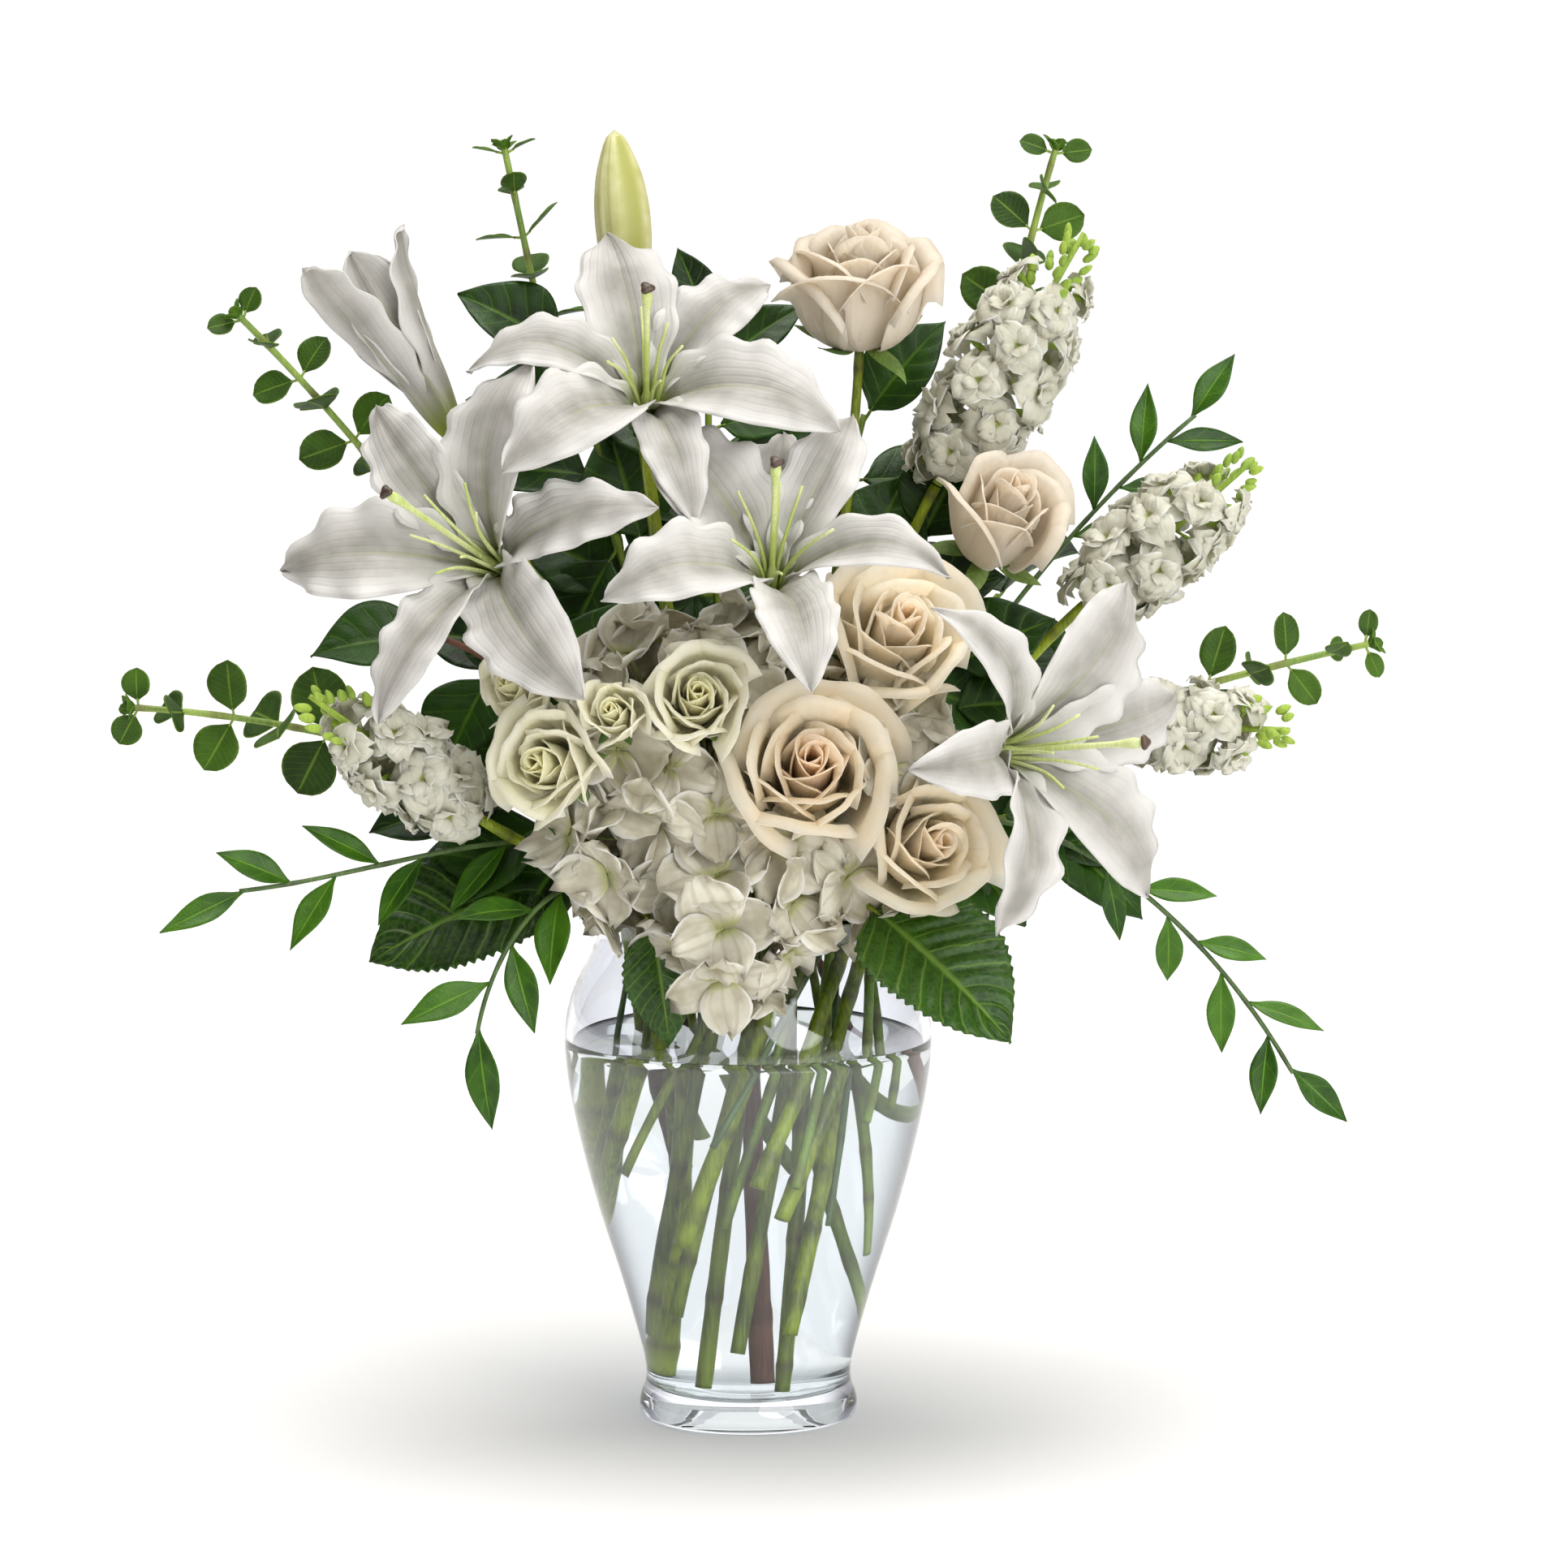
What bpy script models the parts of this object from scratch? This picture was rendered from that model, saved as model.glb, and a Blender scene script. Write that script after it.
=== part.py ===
"""Lilies, roses, stock, hydrangea and greens standing in a clear glass vase.

Units are metres, +Z is up and the vase's axis is Z. The front of the arrangement faces -Y.
The origin is the centre of the vase's flat underside.
"""

import itertools
import math

import bmesh
import bpy
import numpy as np
from mathutils import Matrix, Vector

# ---------------------------------------------------------------- driving dimensions

VASE_HEIGHT = 0.230
VASE_WALL = 0.0035
VASE_FLOOR = 0.012
VASE_FACETS = 32
# The outer wall's radius at a few heights, from the foot to the lip.
VASE_WALL_POINTS = (
    (0.0478, 0.000), (0.0490, 0.0015), (0.0485, 0.008), (0.0460, 0.016), (0.0470, 0.028), (0.0560, 0.060),
    (0.0680, 0.098), (0.0775, 0.136), (0.0818, 0.166), (0.0795, 0.188), (0.0705, 0.208), (0.0662, 0.218),
    (0.0672, 0.225), (0.0690, VASE_HEIGHT),
)
WATER_LEVEL = 0.170
CLEARANCE = 0.00035  # between any two pieces that touch

NECK_Z = 0.217  # the height where the stems are gathered
NECK_SLOT_RADIUS = 0.054  # how far out a stem's centre may stand there
FOOT_SCALE = 0.68  # the bundle's size on the vase's floor, beside its size at the neck
SPIRAL = math.radians(-108)  # how far the bundle turns from the neck down to the floor
GLASS_GAP = 0.0020  # from a stem's foot to the glass beside it
# How each stem fans out below the neck: how far out it would stand on the floor, beside its place at the neck, if the
# glass let it, and how many degrees it turns on the way down.
FANS = {
    "lily_left_stem": (1.63, -63), "lily_top_stem": (1.57, -77), "lily_centre_stem": (1.71, -76),
    "lily_right_stem": (1.25, -71), "rose_top_stem": (1.53, -60), "rose_right_stem": (1.48, -59),
    "rose_centre_stem": (1.38, -60), "rose_front_stem": (1.42, -61), "rose_low_stem": (1.45, -66),
    "spray_rose_stem": (1.56, -79), "hydrangea_stem": (1.67, -76), "stock_top_stem": (1.21, -82),
    "stock_right_stem": (1.62, -83), "stock_low_right_stem": (1.78, -73), "stock_left_stem": (1.47, -68),
    "eucalyptus_top_left": (2.93, -59), "eucalyptus_upper_left": (2.00, -66), "eucalyptus_left": (2.87, -68),
    "eucalyptus_top_right": (2.60, -74), "eucalyptus_right": (2.47, -61), "ruscus_left": (2.44, -65),
    "ruscus_low_left": (2.20, -67), "ruscus_low_right": (2.43, -76), "ruscus_upper_right": (2.03, -57),
    "salal_top_left": (3.00, -76), "salal_top": (2.03, -79), "salal_upper_right": (2.35, -65),
    "salal_left": (2.54, -72), "salal_right": (1.92, -64), "salal_back_left": (2.33, -75),
    "salal_back": (2.41, -72), "salal_back_right": (2.81, -77), "hydrangea_leaf_right": (2.33, -71),
    "hydrangea_leaf_left": (2.58, -70),
}
LEAF_THICKNESS = 0.0009

# Each kind of stem's radius.
LILY_STEM, ROSE_STEM, SPRAY_STEM, HYDRANGEA_STEM, STOCK_STEM = 0.0041, 0.0033, 0.0024, 0.0042, 0.0036
EUCALYPTUS_STEM, RUSCUS_STEM, SALAL_STEM = 0.0022, 0.0015, 0.0023

# ---------------------------------------------------------------- colours

GLASS, WATER = (0.86, 0.91, 0.93), (0.80, 0.90, 0.88)
LILY_WHITE, ROSE_CREAM, SPRAY_WHITE = (0.86, 0.85, 0.83), (0.88, 0.78, 0.64), (0.84, 0.84, 0.70)
HYDRANGEA_WHITE, STOCK_WHITE, BUD_GREEN = (0.84, 0.82, 0.74), (0.87, 0.87, 0.84), (0.68, 0.72, 0.42)
STEM_GREEN, SALAL_GREEN, RUSCUS_GREEN = (0.24, 0.38, 0.08), (0.05, 0.14, 0.03), (0.09, 0.20, 0.05)
EUCALYPTUS_GREEN = (0.16, 0.27, 0.14)


def finish(name, colour, roughness, alpha=1.0):
    """The material of that name, made once."""
    material = bpy.data.materials.get(name)
    if material is None:
        material = bpy.data.materials.new(name)
        material.use_nodes = True
        shader = material.node_tree.nodes["Principled BSDF"]
        shader.inputs["Base Color"].default_value = (*colour, 1)
        shader.inputs["Roughness"].default_value = roughness
        shader.inputs["Alpha"].default_value = alpha
    return material


def add_object(name, bm, material, at=Matrix.Identity(4)):
    """Makes the bmesh an object of that name, placed by a matrix."""
    mesh = bpy.data.meshes.new(name)
    bmesh.ops.recalc_face_normals(bm, faces=bm.faces)
    bmesh.ops.triangulate(bm, faces=bm.faces)
    bm.to_mesh(mesh)
    bm.free()
    mesh.shade_smooth()
    mesh.materials.append(material)
    item = bpy.data.objects.new(name, mesh)
    item.matrix_world = at
    bpy.context.scene.collection.objects.link(item)
    return item


# ---------------------------------------------------------------- directions


def facing(azimuth, elevation):
    """The direction of a flower turned azimuth degrees to the right of the front and tilted up by elevation."""
    a, e = math.radians(azimuth), math.radians(elevation)
    return Vector((math.sin(a) * math.cos(e), -math.cos(a) * math.cos(e), math.sin(e)))


def flower_matrix(base, axis):
    """A flower's own frame: +Z along its axis, +Y its upper side and +X its right as one looks into it."""
    upper = (Vector((0, 0, 1)) - axis * axis.z).normalized()
    turned = Matrix((upper.cross(axis), upper, axis)).transposed().to_4x4()
    return Matrix.Translation(base) @ turned


def on_clock(clock, radius, z):
    """A point of a flower at a clock angle in degrees, where 0 is its upper side and 90 its right."""
    c = math.radians(clock)
    return Vector((radius * math.sin(c), radius * math.cos(c), z))


def from_front(clock, forward):
    """A direction as the front shows it: clock 0 is up and 90 right, and forward is the lean towards the front."""
    c, f = math.radians(clock), math.radians(forward)
    return Vector((math.sin(c) * math.cos(f), -math.sin(f), math.cos(c) * math.cos(f)))


# ---------------------------------------------------------------- growing one face out of another


def grow(bm, face, sections):
    """Extrudes a face through cross-sections, whose points run counter-clockwise seen from the growing end."""
    for section in sections:
        face = bmesh.ops.extrude_discrete_faces(bm, faces=[face])["faces"][0]
        corners = [loop.vert for loop in face.loops]
        count = len(corners)
        turn = min(
            range(count),
            key=lambda t: sum((corners[(i + t) % count].co - p).length for i, p in enumerate(section)),
        )
        for i, point in enumerate(section):
            corners[(i + turn) % count].co = point
    return face


def slab(centre, side, upper, half_width, half_thickness):
    """The four corners of a blade's cross-section."""
    return [
        centre + side * (half_width * a) + upper * (half_thickness * b)
        for a, b in ((-1, -1), (1, -1), (1, 1), (-1, 1))
    ]


def ring(centre, axis, radius, sides):
    """A regular cross-section of a stalk, square to its axis."""
    side = axis.orthogonal().normalized() if abs(axis.z) < 0.1 else axis.cross(Vector((0, 1, 0))).normalized()
    upper = axis.cross(side)
    steps = [2 * math.pi * i / sides for i in range(sides)]
    return [centre + side * (radius * math.cos(t)) + upper * (radius * math.sin(t)) for t in steps]


def stalk(bm, path, radii, sides=6):
    """A closed tapering stalk along a path of points."""
    ends = [path[max(i - 1, 0)] for i in range(len(path))], [path[min(i + 1, len(path) - 1)] for i in range(len(path))]
    rings = [ring(p, (b - a).normalized(), r, sides) for p, a, b, r in zip(path, *ends, radii)]
    made = bmesh.ops.create_cone(bm, cap_ends=True, segments=sides, radius1=1, radius2=1, depth=2)["verts"]
    around = sorted(made, key=lambda v: math.atan2(v.co.y, v.co.x) % (2 * math.pi - 1e-4))
    caps = [[v for v in around if v.co.z < 0], [v for v in around if v.co.z > 0]]
    top = next(f for f in caps[1][0].link_faces if set(f.verts) == set(caps[1]))
    for verts, points in zip(caps, rings):
        for vert, point in zip(verts, points):
            vert.co = point
    return grow(bm, top, rings[2:])


def turned(bm, outline, facets):
    """A body of revolution about Z from (radius, height) points that start and end on the axis."""
    verts = [bm.verts.new((r, 0, z)) for r, z in outline]
    edges = [bm.edges.new(pair) for pair in itertools.pairwise(verts)]
    bmesh.ops.spin(
        bm, geom=verts + edges, cent=(0, 0, 0), axis=(0, 0, 1), angle=2 * math.pi, steps=facets, use_merge=True
    )
    bmesh.ops.remove_doubles(bm, verts=bm.verts, dist=1e-6)


# ---------------------------------------------------------------- stems


def hermite(start, start_pull, end, end_pull, steps):
    """Points of a smooth curve from start to end, leaving along start_pull and arriving along end_pull."""
    points = []
    for i in range(1, steps + 1):
        t = i / steps
        points.append(
            start * (2 * t**3 - 3 * t**2 + 1)
            + start_pull * (t**3 - 2 * t**2 + t)
            + end * (3 * t**2 - 2 * t**3)
            + end_pull * (t**3 - t**2)
        )
    return points


def spiral_shrink():
    """How much closer together the stems come at the waist of the spiral than at the neck."""
    foot = FOOT_SCALE * complex(math.cos(SPIRAL), math.sin(SPIRAL))
    return abs(foot.imag) / abs(1 - foot)


def settle_neck(heads, radii):
    """Places every stem at the neck: below its head, and shouldered aside until none crowds another."""
    slots = []
    for head in heads:
        reach = math.hypot(head.x, head.y)
        lean = math.atan2(head.y, head.x) + SPIRAL * 0.25
        radius = min(NECK_SLOT_RADIUS, 0.012 + 0.30 * reach)
        slots.append(Vector((radius * math.cos(lean), radius * math.sin(lean))))
    crowding = 1.15 / spiral_shrink()
    for _ in range(300):
        for i, j in itertools.combinations(range(len(slots)), 2):
            apart = slots[j] - slots[i]
            short = (radii[i] + radii[j] + 2 * CLEARANCE) * crowding - apart.length
            if short > 0:
                push = apart.normalized() * (short / 2)
                slots[i] -= push
                slots[j] += push
        for i, slot in enumerate(slots):
            if slot.length > NECK_SLOT_RADIUS:
                slots[i] = slot * (NECK_SLOT_RADIUS / slot.length)
    return slots


def below(slot, turn, scale, z):
    """The point at height z that a stem's place at the neck leads to, turned and scaled."""
    place = slot.copy()
    place.rotate(Matrix.Rotation(turn, 2))
    return Vector((place.x * scale, place.y * scale, z))


def stands(neck, aim, radius):
    """The point between the neck and its aim on the floor where a stem's foot meets the glass."""
    outer = np.array(VASE_WALL_POINTS)
    point = neck
    for i in range(1, 201):
        ahead = neck.lerp(aim, i / 200)
        wall = float(np.interp(ahead.z - radius, outer[:, 1], outer[:, 0])) * math.cos(math.pi / VASE_FACETS)
        if ahead.z < 0.19 and math.hypot(ahead.x, ahead.y) + radius > wall - VASE_WALL - GLASS_GAP:
            break
        point = ahead
    return point


def stem_path(name, slot, radius, end, arrival, steps):
    """A stem's foot, its place at the neck, and the points of its curve up to its end."""
    neck = Vector((slot.x, slot.y, NECK_Z))
    low = VASE_FLOOR + radius + CLEARANCE
    splay, turn = FANS[name]
    foot = stands(neck, below(slot, math.radians(turn), splay, low), radius)
    rise = (neck - below(slot, SPIRAL, FOOT_SCALE, low)).normalized()
    pull = (end - neck).length * (0.9 + 6 * max(0, 0.29 - end.z))  # a low end takes a higher arch over the lip
    upper = hermite(neck, rise * pull, end, arrival * pull, steps)
    return [foot, neck, *upper]


def along(path, back):
    """The point of a path that lies back metres before its end, and the direction there."""
    for a, b in itertools.pairwise(reversed(path)):
        length = (a - b).length
        if back <= length:
            return a + (b - a) * (back / length), (a - b).normalized()
        back -= length
    return path[0], (path[1] - path[0]).normalized()


def with_nodes(path, backs, half_height=0.0016):
    """The path with two close points at each leaf node, so that a leaf has a small face to grow from."""
    lengths = [0.0]
    for a, b in itertools.pairwise(path):
        lengths.append(lengths[-1] + (b - a).length)
    total = lengths[-1]
    marks = sorted({total - b for b in backs})
    points = [(d, p) for d, p in zip(lengths, path) if all(abs(d - m) > 2.5 * half_height for m in marks)]
    for mark in marks:
        at, onward = along(path, total - mark)
        points += [(mark - half_height, at - onward * half_height), (mark + half_height, at + onward * half_height)]
    return [p for _, p in sorted(points, key=lambda pair: pair[0])]


def bud_face(bm, at, direction):
    """The side face of a stalk nearest to a point, on the side that looks along a direction."""
    near = sorted(bm.faces, key=lambda f: (f.calc_center_median() - at).length)[:8]
    return max((f for f in near if len(f.verts) == 4), key=lambda f: f.normal.dot(direction))


def blade(bm, at, direction, upper, length, width, shape, droop=0.0, petiole=0.15):
    """A leaf: a thin petiole that widens into a blade. shape gives (share of length, share of width) pairs."""
    bm.normal_update()
    direction = direction.normalized()
    upper = (upper - direction * upper.dot(direction)).normalized()
    side = upper.cross(direction)
    half = LEAF_THICKNESS / 2
    face = bud_face(bm, at, direction)
    root = face.calc_center_median()
    sections = [slab(root + direction * (petiole * length), side, upper, 0.0008, half)]
    for share, wide in shape:
        reach = petiole + (1 - petiole) * share
        centre = root + direction * (reach * length) - upper * (droop * length * reach**2)
        sections.append(slab(centre, side, upper, max(width * wide / 2, 0.0006), half))
    grow(bm, face, sections)


ROUND_LEAF = ((0.25, 0.86), (0.75, 0.90), (1.0, 0.22))
LANCE_LEAF = ((0.28, 0.84), (0.64, 0.80), (1.0, 0.04))
BROAD_LEAF = ((0.12, 0.66), (0.38, 1.0), (0.72, 0.72), (1.0, 0.05))

# ---------------------------------------------------------------- flower heads


def lily_bloom(bm, clocks, reach=1.0):
    """An open lily: a short throat whose six sides grow into recurved tepals, wide and narrow by turns, and a pistil."""
    throat, throat_radius = 0.014, 0.0085
    bmesh.ops.create_cone(
        bm,
        cap_ends=True,
        segments=6,
        radius1=0.0042,
        radius2=throat_radius,
        depth=throat,
        matrix=Matrix.Translation((0, 0, throat / 2)) @ Matrix.Rotation(math.radians(30), 4, "Z"),
    )
    # Radius and height along a tepal, with the width of a wide and of a narrow one.
    stations = (
        (0.0135, 0.018, 0.009, 0.008), (0.022, 0.031, 0.019, 0.014), (0.036, 0.041, 0.034, 0.023),
        (0.056, 0.045, 0.044, 0.028), (0.074, 0.040, 0.033, 0.021), (0.087, 0.029, 0.006, 0.005),
    )
    sides = [f for f in bm.faces if len(f.verts) == 4]
    top = max(bm.faces, key=lambda f: f.calc_center_median().z)
    for face in sides:
        middle = face.calc_center_median()
        natural = math.degrees(math.atan2(middle.x, middle.y)) % 360
        index = min(range(6), key=lambda k: abs((clocks[0] + 60 * k - natural + 180) % 360 - 180))
        sections = []
        for station, (radius, height, wide, narrow) in enumerate(stations):
            blend = min(1.0, (station + 1) / 3)
            clock = natural + blend * ((clocks[index] - natural + 180) % 360 - 180)
            outer = index % 2
            radial = on_clock(clock, 1, 0)
            slope = (0, 0.35, 0.75, 1.0, 1.25, 1.5)[station]
            upper = Vector((0, 0, 1)) * math.sin(slope) - radial * math.cos(slope)
            centre = on_clock(clock, radius * reach, (height - 0.004 * outer) * reach)
            width = narrow if outer else wide
            sections.append(slab(centre, Vector((-radial.y, radial.x, 0)), upper, width / 2, 0.0007))
        grow(bm, face, sections)
    pistil = ((0.018, 0.0036), (0.022, 0.0013), (0.076, 0.0012), (0.079, 0.0030), (0.083, 0.0022))
    grow(bm, top, [ring(Vector((0, 0, z)), Vector((0, 0, 1)), r, 6) for z, r in pistil])


def half_open_lily(bm):
    """A lily that has only begun to open: a long trumpet whose three outer tips turn back."""
    path = [Vector((0, 0, z)) for z in (0, 0.018, 0.042, 0.060, 0.070)]
    stalk(bm, path, (0.0035, 0.0085, 0.0140, 0.0155, 0.0120))
    bm.normal_update()
    tips = [f for f in bm.faces if len(f.verts) == 4 and f.calc_center_median().z > 0.062]
    for face in tips[::2]:
        outward = face.calc_center_median()
        radial = Vector((outward.x, outward.y, 0)).normalized()
        side = Vector((0, 0, 1)).cross(radial)
        inner = Vector((0, 0, 0.6)) - radial * 0.8
        stations = ((0.018, 0.074, 0.018), (0.024, 0.084, 0.012), (0.032, 0.092, 0.004))
        grow(bm, face, [slab(radial * r + Vector((0, 0, z)), side, inner, w / 2, 0.0009) for r, z, w in stations])


def closed_bud(bm):
    """A closed lily bud: a blunt three-sided spindle."""
    outline = ((0, 0), (0.0045, 0.003), (0.0095, 0.022), (0.0122, 0.045), (0.0108, 0.066), (0.0058, 0.084), (0, 0.094))
    turned(bm, outline, 9)


def rose_bloom(bm, width):
    """A rose: a cup of outer petals around a lower, spiralled heart."""
    r = width / 2
    outline = (
        (0, 0), (0.30 * r, 0.02 * r), (0.78 * r, 0.38 * r), (0.97 * r, 0.85 * r), (1.0 * r, 1.28 * r),
        (0.86 * r, 1.50 * r), (0.62 * r, 1.44 * r), (0.40 * r, 1.56 * r), (0, 1.60 * r),
    )
    turned(bm, outline, 15)
    for vert in bm.verts:
        clock = math.atan2(vert.co.x, vert.co.y)
        lobes = 1 - 0.035 * (1 + math.cos(5 * clock + 60 * vert.co.z / r))
        vert.co.x *= lobes
        vert.co.y *= lobes


def stock_head(bm, length, width):
    """A stock spike: florets crowded round a stalk, closed buds at its tip."""
    rings = 9
    outline = [(0, 0)]
    for i in range(rings):
        t = i / (rings - 1)
        bulge = math.sin(math.pi * (0.22 + 0.70 * t)) ** 0.8
        outline.append((width / 2 * bulge * (0.92 if i % 2 else 1.0), length * (0.04 + 0.90 * t)))
    turned(bm, [*outline, (0, length)], 11)


def lobed_head(bm, centre, lobes):
    """A hydrangea mophead: one surface round several overlapping balls of florets."""
    bmesh.ops.create_uvsphere(bm, u_segments=18, v_segments=11, radius=1)
    for vert in bm.verts:
        direction = vert.co.normalized()
        reach = 0.0
        for middle, radius in lobes:
            offset = middle - centre
            forward = offset.dot(direction)
            hit = forward**2 - offset.length_squared + radius**2
            if hit > 0:
                reach = max(reach, forward + math.sqrt(hit))
        vert.co = centre + direction * reach


# ---------------------------------------------------------------- where everything stands

# name: (throat of the flower, azimuth, elevation, clock angles of its six tepals)
LILIES = {
    "lily_left": ((-0.107, -0.077, 0.386), -29, 22, (2, 71, 137, 190, 261, 316)),
    "lily_top": ((-0.043, -0.055, 0.454), 2, 40, (348, 41, 106, 165, 225, 290)),
    "lily_centre": ((0.011, -0.095, 0.381), 4, 38, (0, 35, 99, 170, 246, 318)),
    "lily_right": ((0.108, -0.100, 0.309), 43, 7, (36, 86, 139, 213, 266, 327)),
}
THROAT_DEPTH = 0.010  # of a lily's throat above its base

# name: (centre of the bloom, azimuth, elevation, width)
ROSES = {
    "rose_top": ((0.051, -0.010, 0.525), 5, 68, 0.068),
    "rose_right": ((0.118, -0.045, 0.418), 22, 42, 0.062),
    "rose_centre": ((0.068, -0.086, 0.366), 12, 32, 0.066),
    "rose_front": ((0.028, -0.124, 0.309), 2, 22, 0.068),
    "rose_low": ((0.083, -0.110, 0.272), 20, 12, 0.055),
}
SPRAY_ROSES = {
    "spray_rose_1": ((-0.089, -0.118, 0.306), -22, 8, 0.044),
    "spray_rose_2": ((-0.057, -0.127, 0.330), -10, 18, 0.030),
    "spray_rose_3": ((-0.020, -0.128, 0.337), 2, 20, 0.042),
    "spray_rose_4": ((-0.102, -0.092, 0.338), -25, 22, 0.032),
}
ROSE_BACK = 0.75  # from a rose's base to the middle of what is seen, as a share of its width

# name: (base, tip, width)
STOCKS = {
    "stock_top": ((0.084, 0.018, 0.416), (0.148, 0.006, 0.527), 0.058),
    "stock_right": ((0.150, 0.006, 0.364), (0.222, -0.008, 0.428), 0.054),
    "stock_low_right": ((0.162, -0.014, 0.312), (0.236, -0.040, 0.312), 0.046),
    "stock_left": ((-0.118, -0.062, 0.278), (-0.186, -0.084, 0.331), 0.048),
}

# Lily buds on side branches: (stem they leave, distance back from its end, base of the bud, tip of the bud)
HALF_OPEN = ("lily_left_stem", 0.070, (-0.127, -0.030, 0.440), (-0.170, -0.020, 0.509))
CLOSED = ("lily_top_stem", 0.070, (-0.051, 0.014, 0.479), (-0.059, 0.014, 0.573))

# The mophead's middle, and the balls of florets round it as (centre, radius).
HYDRANGEA_CENTRE = Vector((-0.010, -0.062, 0.285))
HYDRANGEA_LOBES = (
    ((-0.015, -0.055, 0.285), 0.054), ((-0.040, -0.062, 0.316), 0.040), ((0.020, -0.060, 0.270), 0.046),
    ((-0.045, -0.064, 0.266), 0.038), ((-0.004, -0.084, 0.240), 0.034), ((-0.002, -0.056, 0.328), 0.036),
    ((0.050, -0.066, 0.302), 0.034),
)
HYDRANGEA_FLOOR = VASE_HEIGHT + 0.0025

# name: (tip, direction of the tip as (clock, forward), leaf pairs, length and width of a leaf, gap between pairs)
EUCALYPTUS = {
    "eucalyptus_top_left": ((-0.109, 0.042, 0.566), (-12, 0), 5, 0.019, 0.015, 0.019),
    "eucalyptus_upper_left": ((-0.224, -0.005, 0.492), (-45, 5), 6, 0.020, 0.017, 0.018),
    "eucalyptus_left": ((-0.270, -0.030, 0.321), (-86, 10), 5, 0.024, 0.022, 0.021),
    "eucalyptus_top_right": ((0.138, 0.050, 0.566), (16, 10), 5, 0.022, 0.018, 0.018),
    "eucalyptus_right": ((0.278, 0.010, 0.346), (76, 14), 5, 0.021, 0.014, 0.018),
}

# name: (tip, direction of the tip, number of leaves, their length and width, gap between leaves)
RUSCUS = {
    "ruscus_left": ((-0.218, -0.075, 0.246), (-95, 10), 7, 0.038, 0.012, 0.020),
    "ruscus_low_left": ((-0.114, -0.112, 0.190), (190, 5), 6, 0.042, 0.014, 0.020),
    "ruscus_low_right": ((0.236, -0.070, 0.166), (150, 5), 9, 0.034, 0.011, 0.017),
    "ruscus_upper_right": ((0.200, 0.036, 0.446), (50, 0), 7, 0.034, 0.012, 0.015),
}

# name: (tip, direction of the tip, leaves as (distance back from the tip, clock, forward, length, width))
SALAL = {
    "salal_top_left": (
        (-0.080, 0.020, 0.476), (-20, 0),
        ((0.004, -55, 10, 0.058, 0.036), (0.030, -80, -10, 0.058, 0.038), (0.050, 20, -20, 0.050, 0.034)),
    ),
    "salal_top": (
        (-0.016, 0.030, 0.486), (5, 0),
        ((0.004, -20, 0, 0.042, 0.022), (0.022, 48, 0, 0.056, 0.024), (0.046, 75, 10, 0.050, 0.034)),
    ),
    "salal_upper_right": (
        (0.052, 0.044, 0.446), (15, 0),
        ((0.004, 34, 12, 0.060, 0.034), (0.030, 88, -10, 0.056, 0.036), (0.056, -60, -15, 0.052, 0.036)),
    ),
    "salal_left": (
        (-0.136, -0.030, 0.352), (-75, 5),
        ((0.004, -88, 10, 0.060, 0.040), (0.030, -150, 15, 0.056, 0.040), (0.050, -20, 0, 0.056, 0.040)),
    ),
    "salal_right": (
        (0.128, -0.024, 0.268), (110, 0),
        ((0.004, 122, 10, 0.066, 0.042), (0.024, 80, -5, 0.060, 0.034), (0.044, 165, -12, 0.052, 0.034)),
    ),
    "salal_back_left": (
        (-0.100, 0.110, 0.372), (-45, -45),
        ((0.004, -40, -50, 0.064, 0.042), (0.030, -110, -40, 0.062, 0.042), (0.056, 20, -60, 0.060, 0.040),
         (0.084, -90, -50, 0.058, 0.040)),
    ),
    "salal_back": (
        (0.005, 0.120, 0.408), (0, -50),
        ((0.004, 5, -50, 0.064, 0.042), (0.032, 90, -45, 0.062, 0.042), (0.058, -90, -45, 0.062, 0.040),
         (0.088, 80, -60, 0.058, 0.040)),
    ),
    "salal_back_right": (
        (0.115, 0.105, 0.360), (45, -45),
        ((0.004, 50, -45, 0.064, 0.042), (0.030, 120, -40, 0.062, 0.042), (0.056, -20, -60, 0.060, 0.040),
         (0.084, 100, -50, 0.058, 0.040)),
    ),
}

# Big hydrangea leaves that hang over the vase's lip on stalks of their own, in the same columns.
HYDRANGEA_LEAVES = {
    "hydrangea_leaf_right": ((0.050, -0.082, 0.243), (110, 30), ((0.003, 126, 22, 0.096, 0.070),)),
    "hydrangea_leaf_left": (
        (-0.082, -0.030, 0.247), (-100, 15),
        ((0.003, -108, 6, 0.100, 0.076),),
    ),
}

# ---------------------------------------------------------------- building


def build_vase():
    """The glass: one turned wall with a thick floor and a flat underside."""
    outer = np.array(VASE_WALL_POINTS)
    heights = outer[:, 1]
    inner_heights = [z for z in heights if z > VASE_FLOOR + 0.006]
    inner = [(float(np.interp(z, heights, outer[:, 0])) - VASE_WALL, float(z)) for z in reversed(inner_heights)]
    corner = inner[-1][0]
    outline = [(0, 0), *VASE_WALL_POINTS, *inner, (corner - 0.0035, VASE_FLOOR + 0.0010), (0, VASE_FLOOR)]
    bm = bmesh.new()
    turned(bm, outline, VASE_FACETS)
    return add_object("vase", bm, finish("clear glass", GLASS, 0.05, alpha=0.35))


def cut_away(item, bm):
    """Subtracts the bmesh's closed shapes from an item, and keeps them as a hidden cutter."""
    cutter = add_object(item.name + "_cutter", bm, item.active_material)
    cutter.hide_render = True
    cutter.display_type = "WIRE"
    cut = item.modifiers.new("room for neighbours", "BOOLEAN")
    cut.operation = "DIFFERENCE"
    cut.solver = "EXACT"
    cut.use_self = True
    cut.object = cutter


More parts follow.
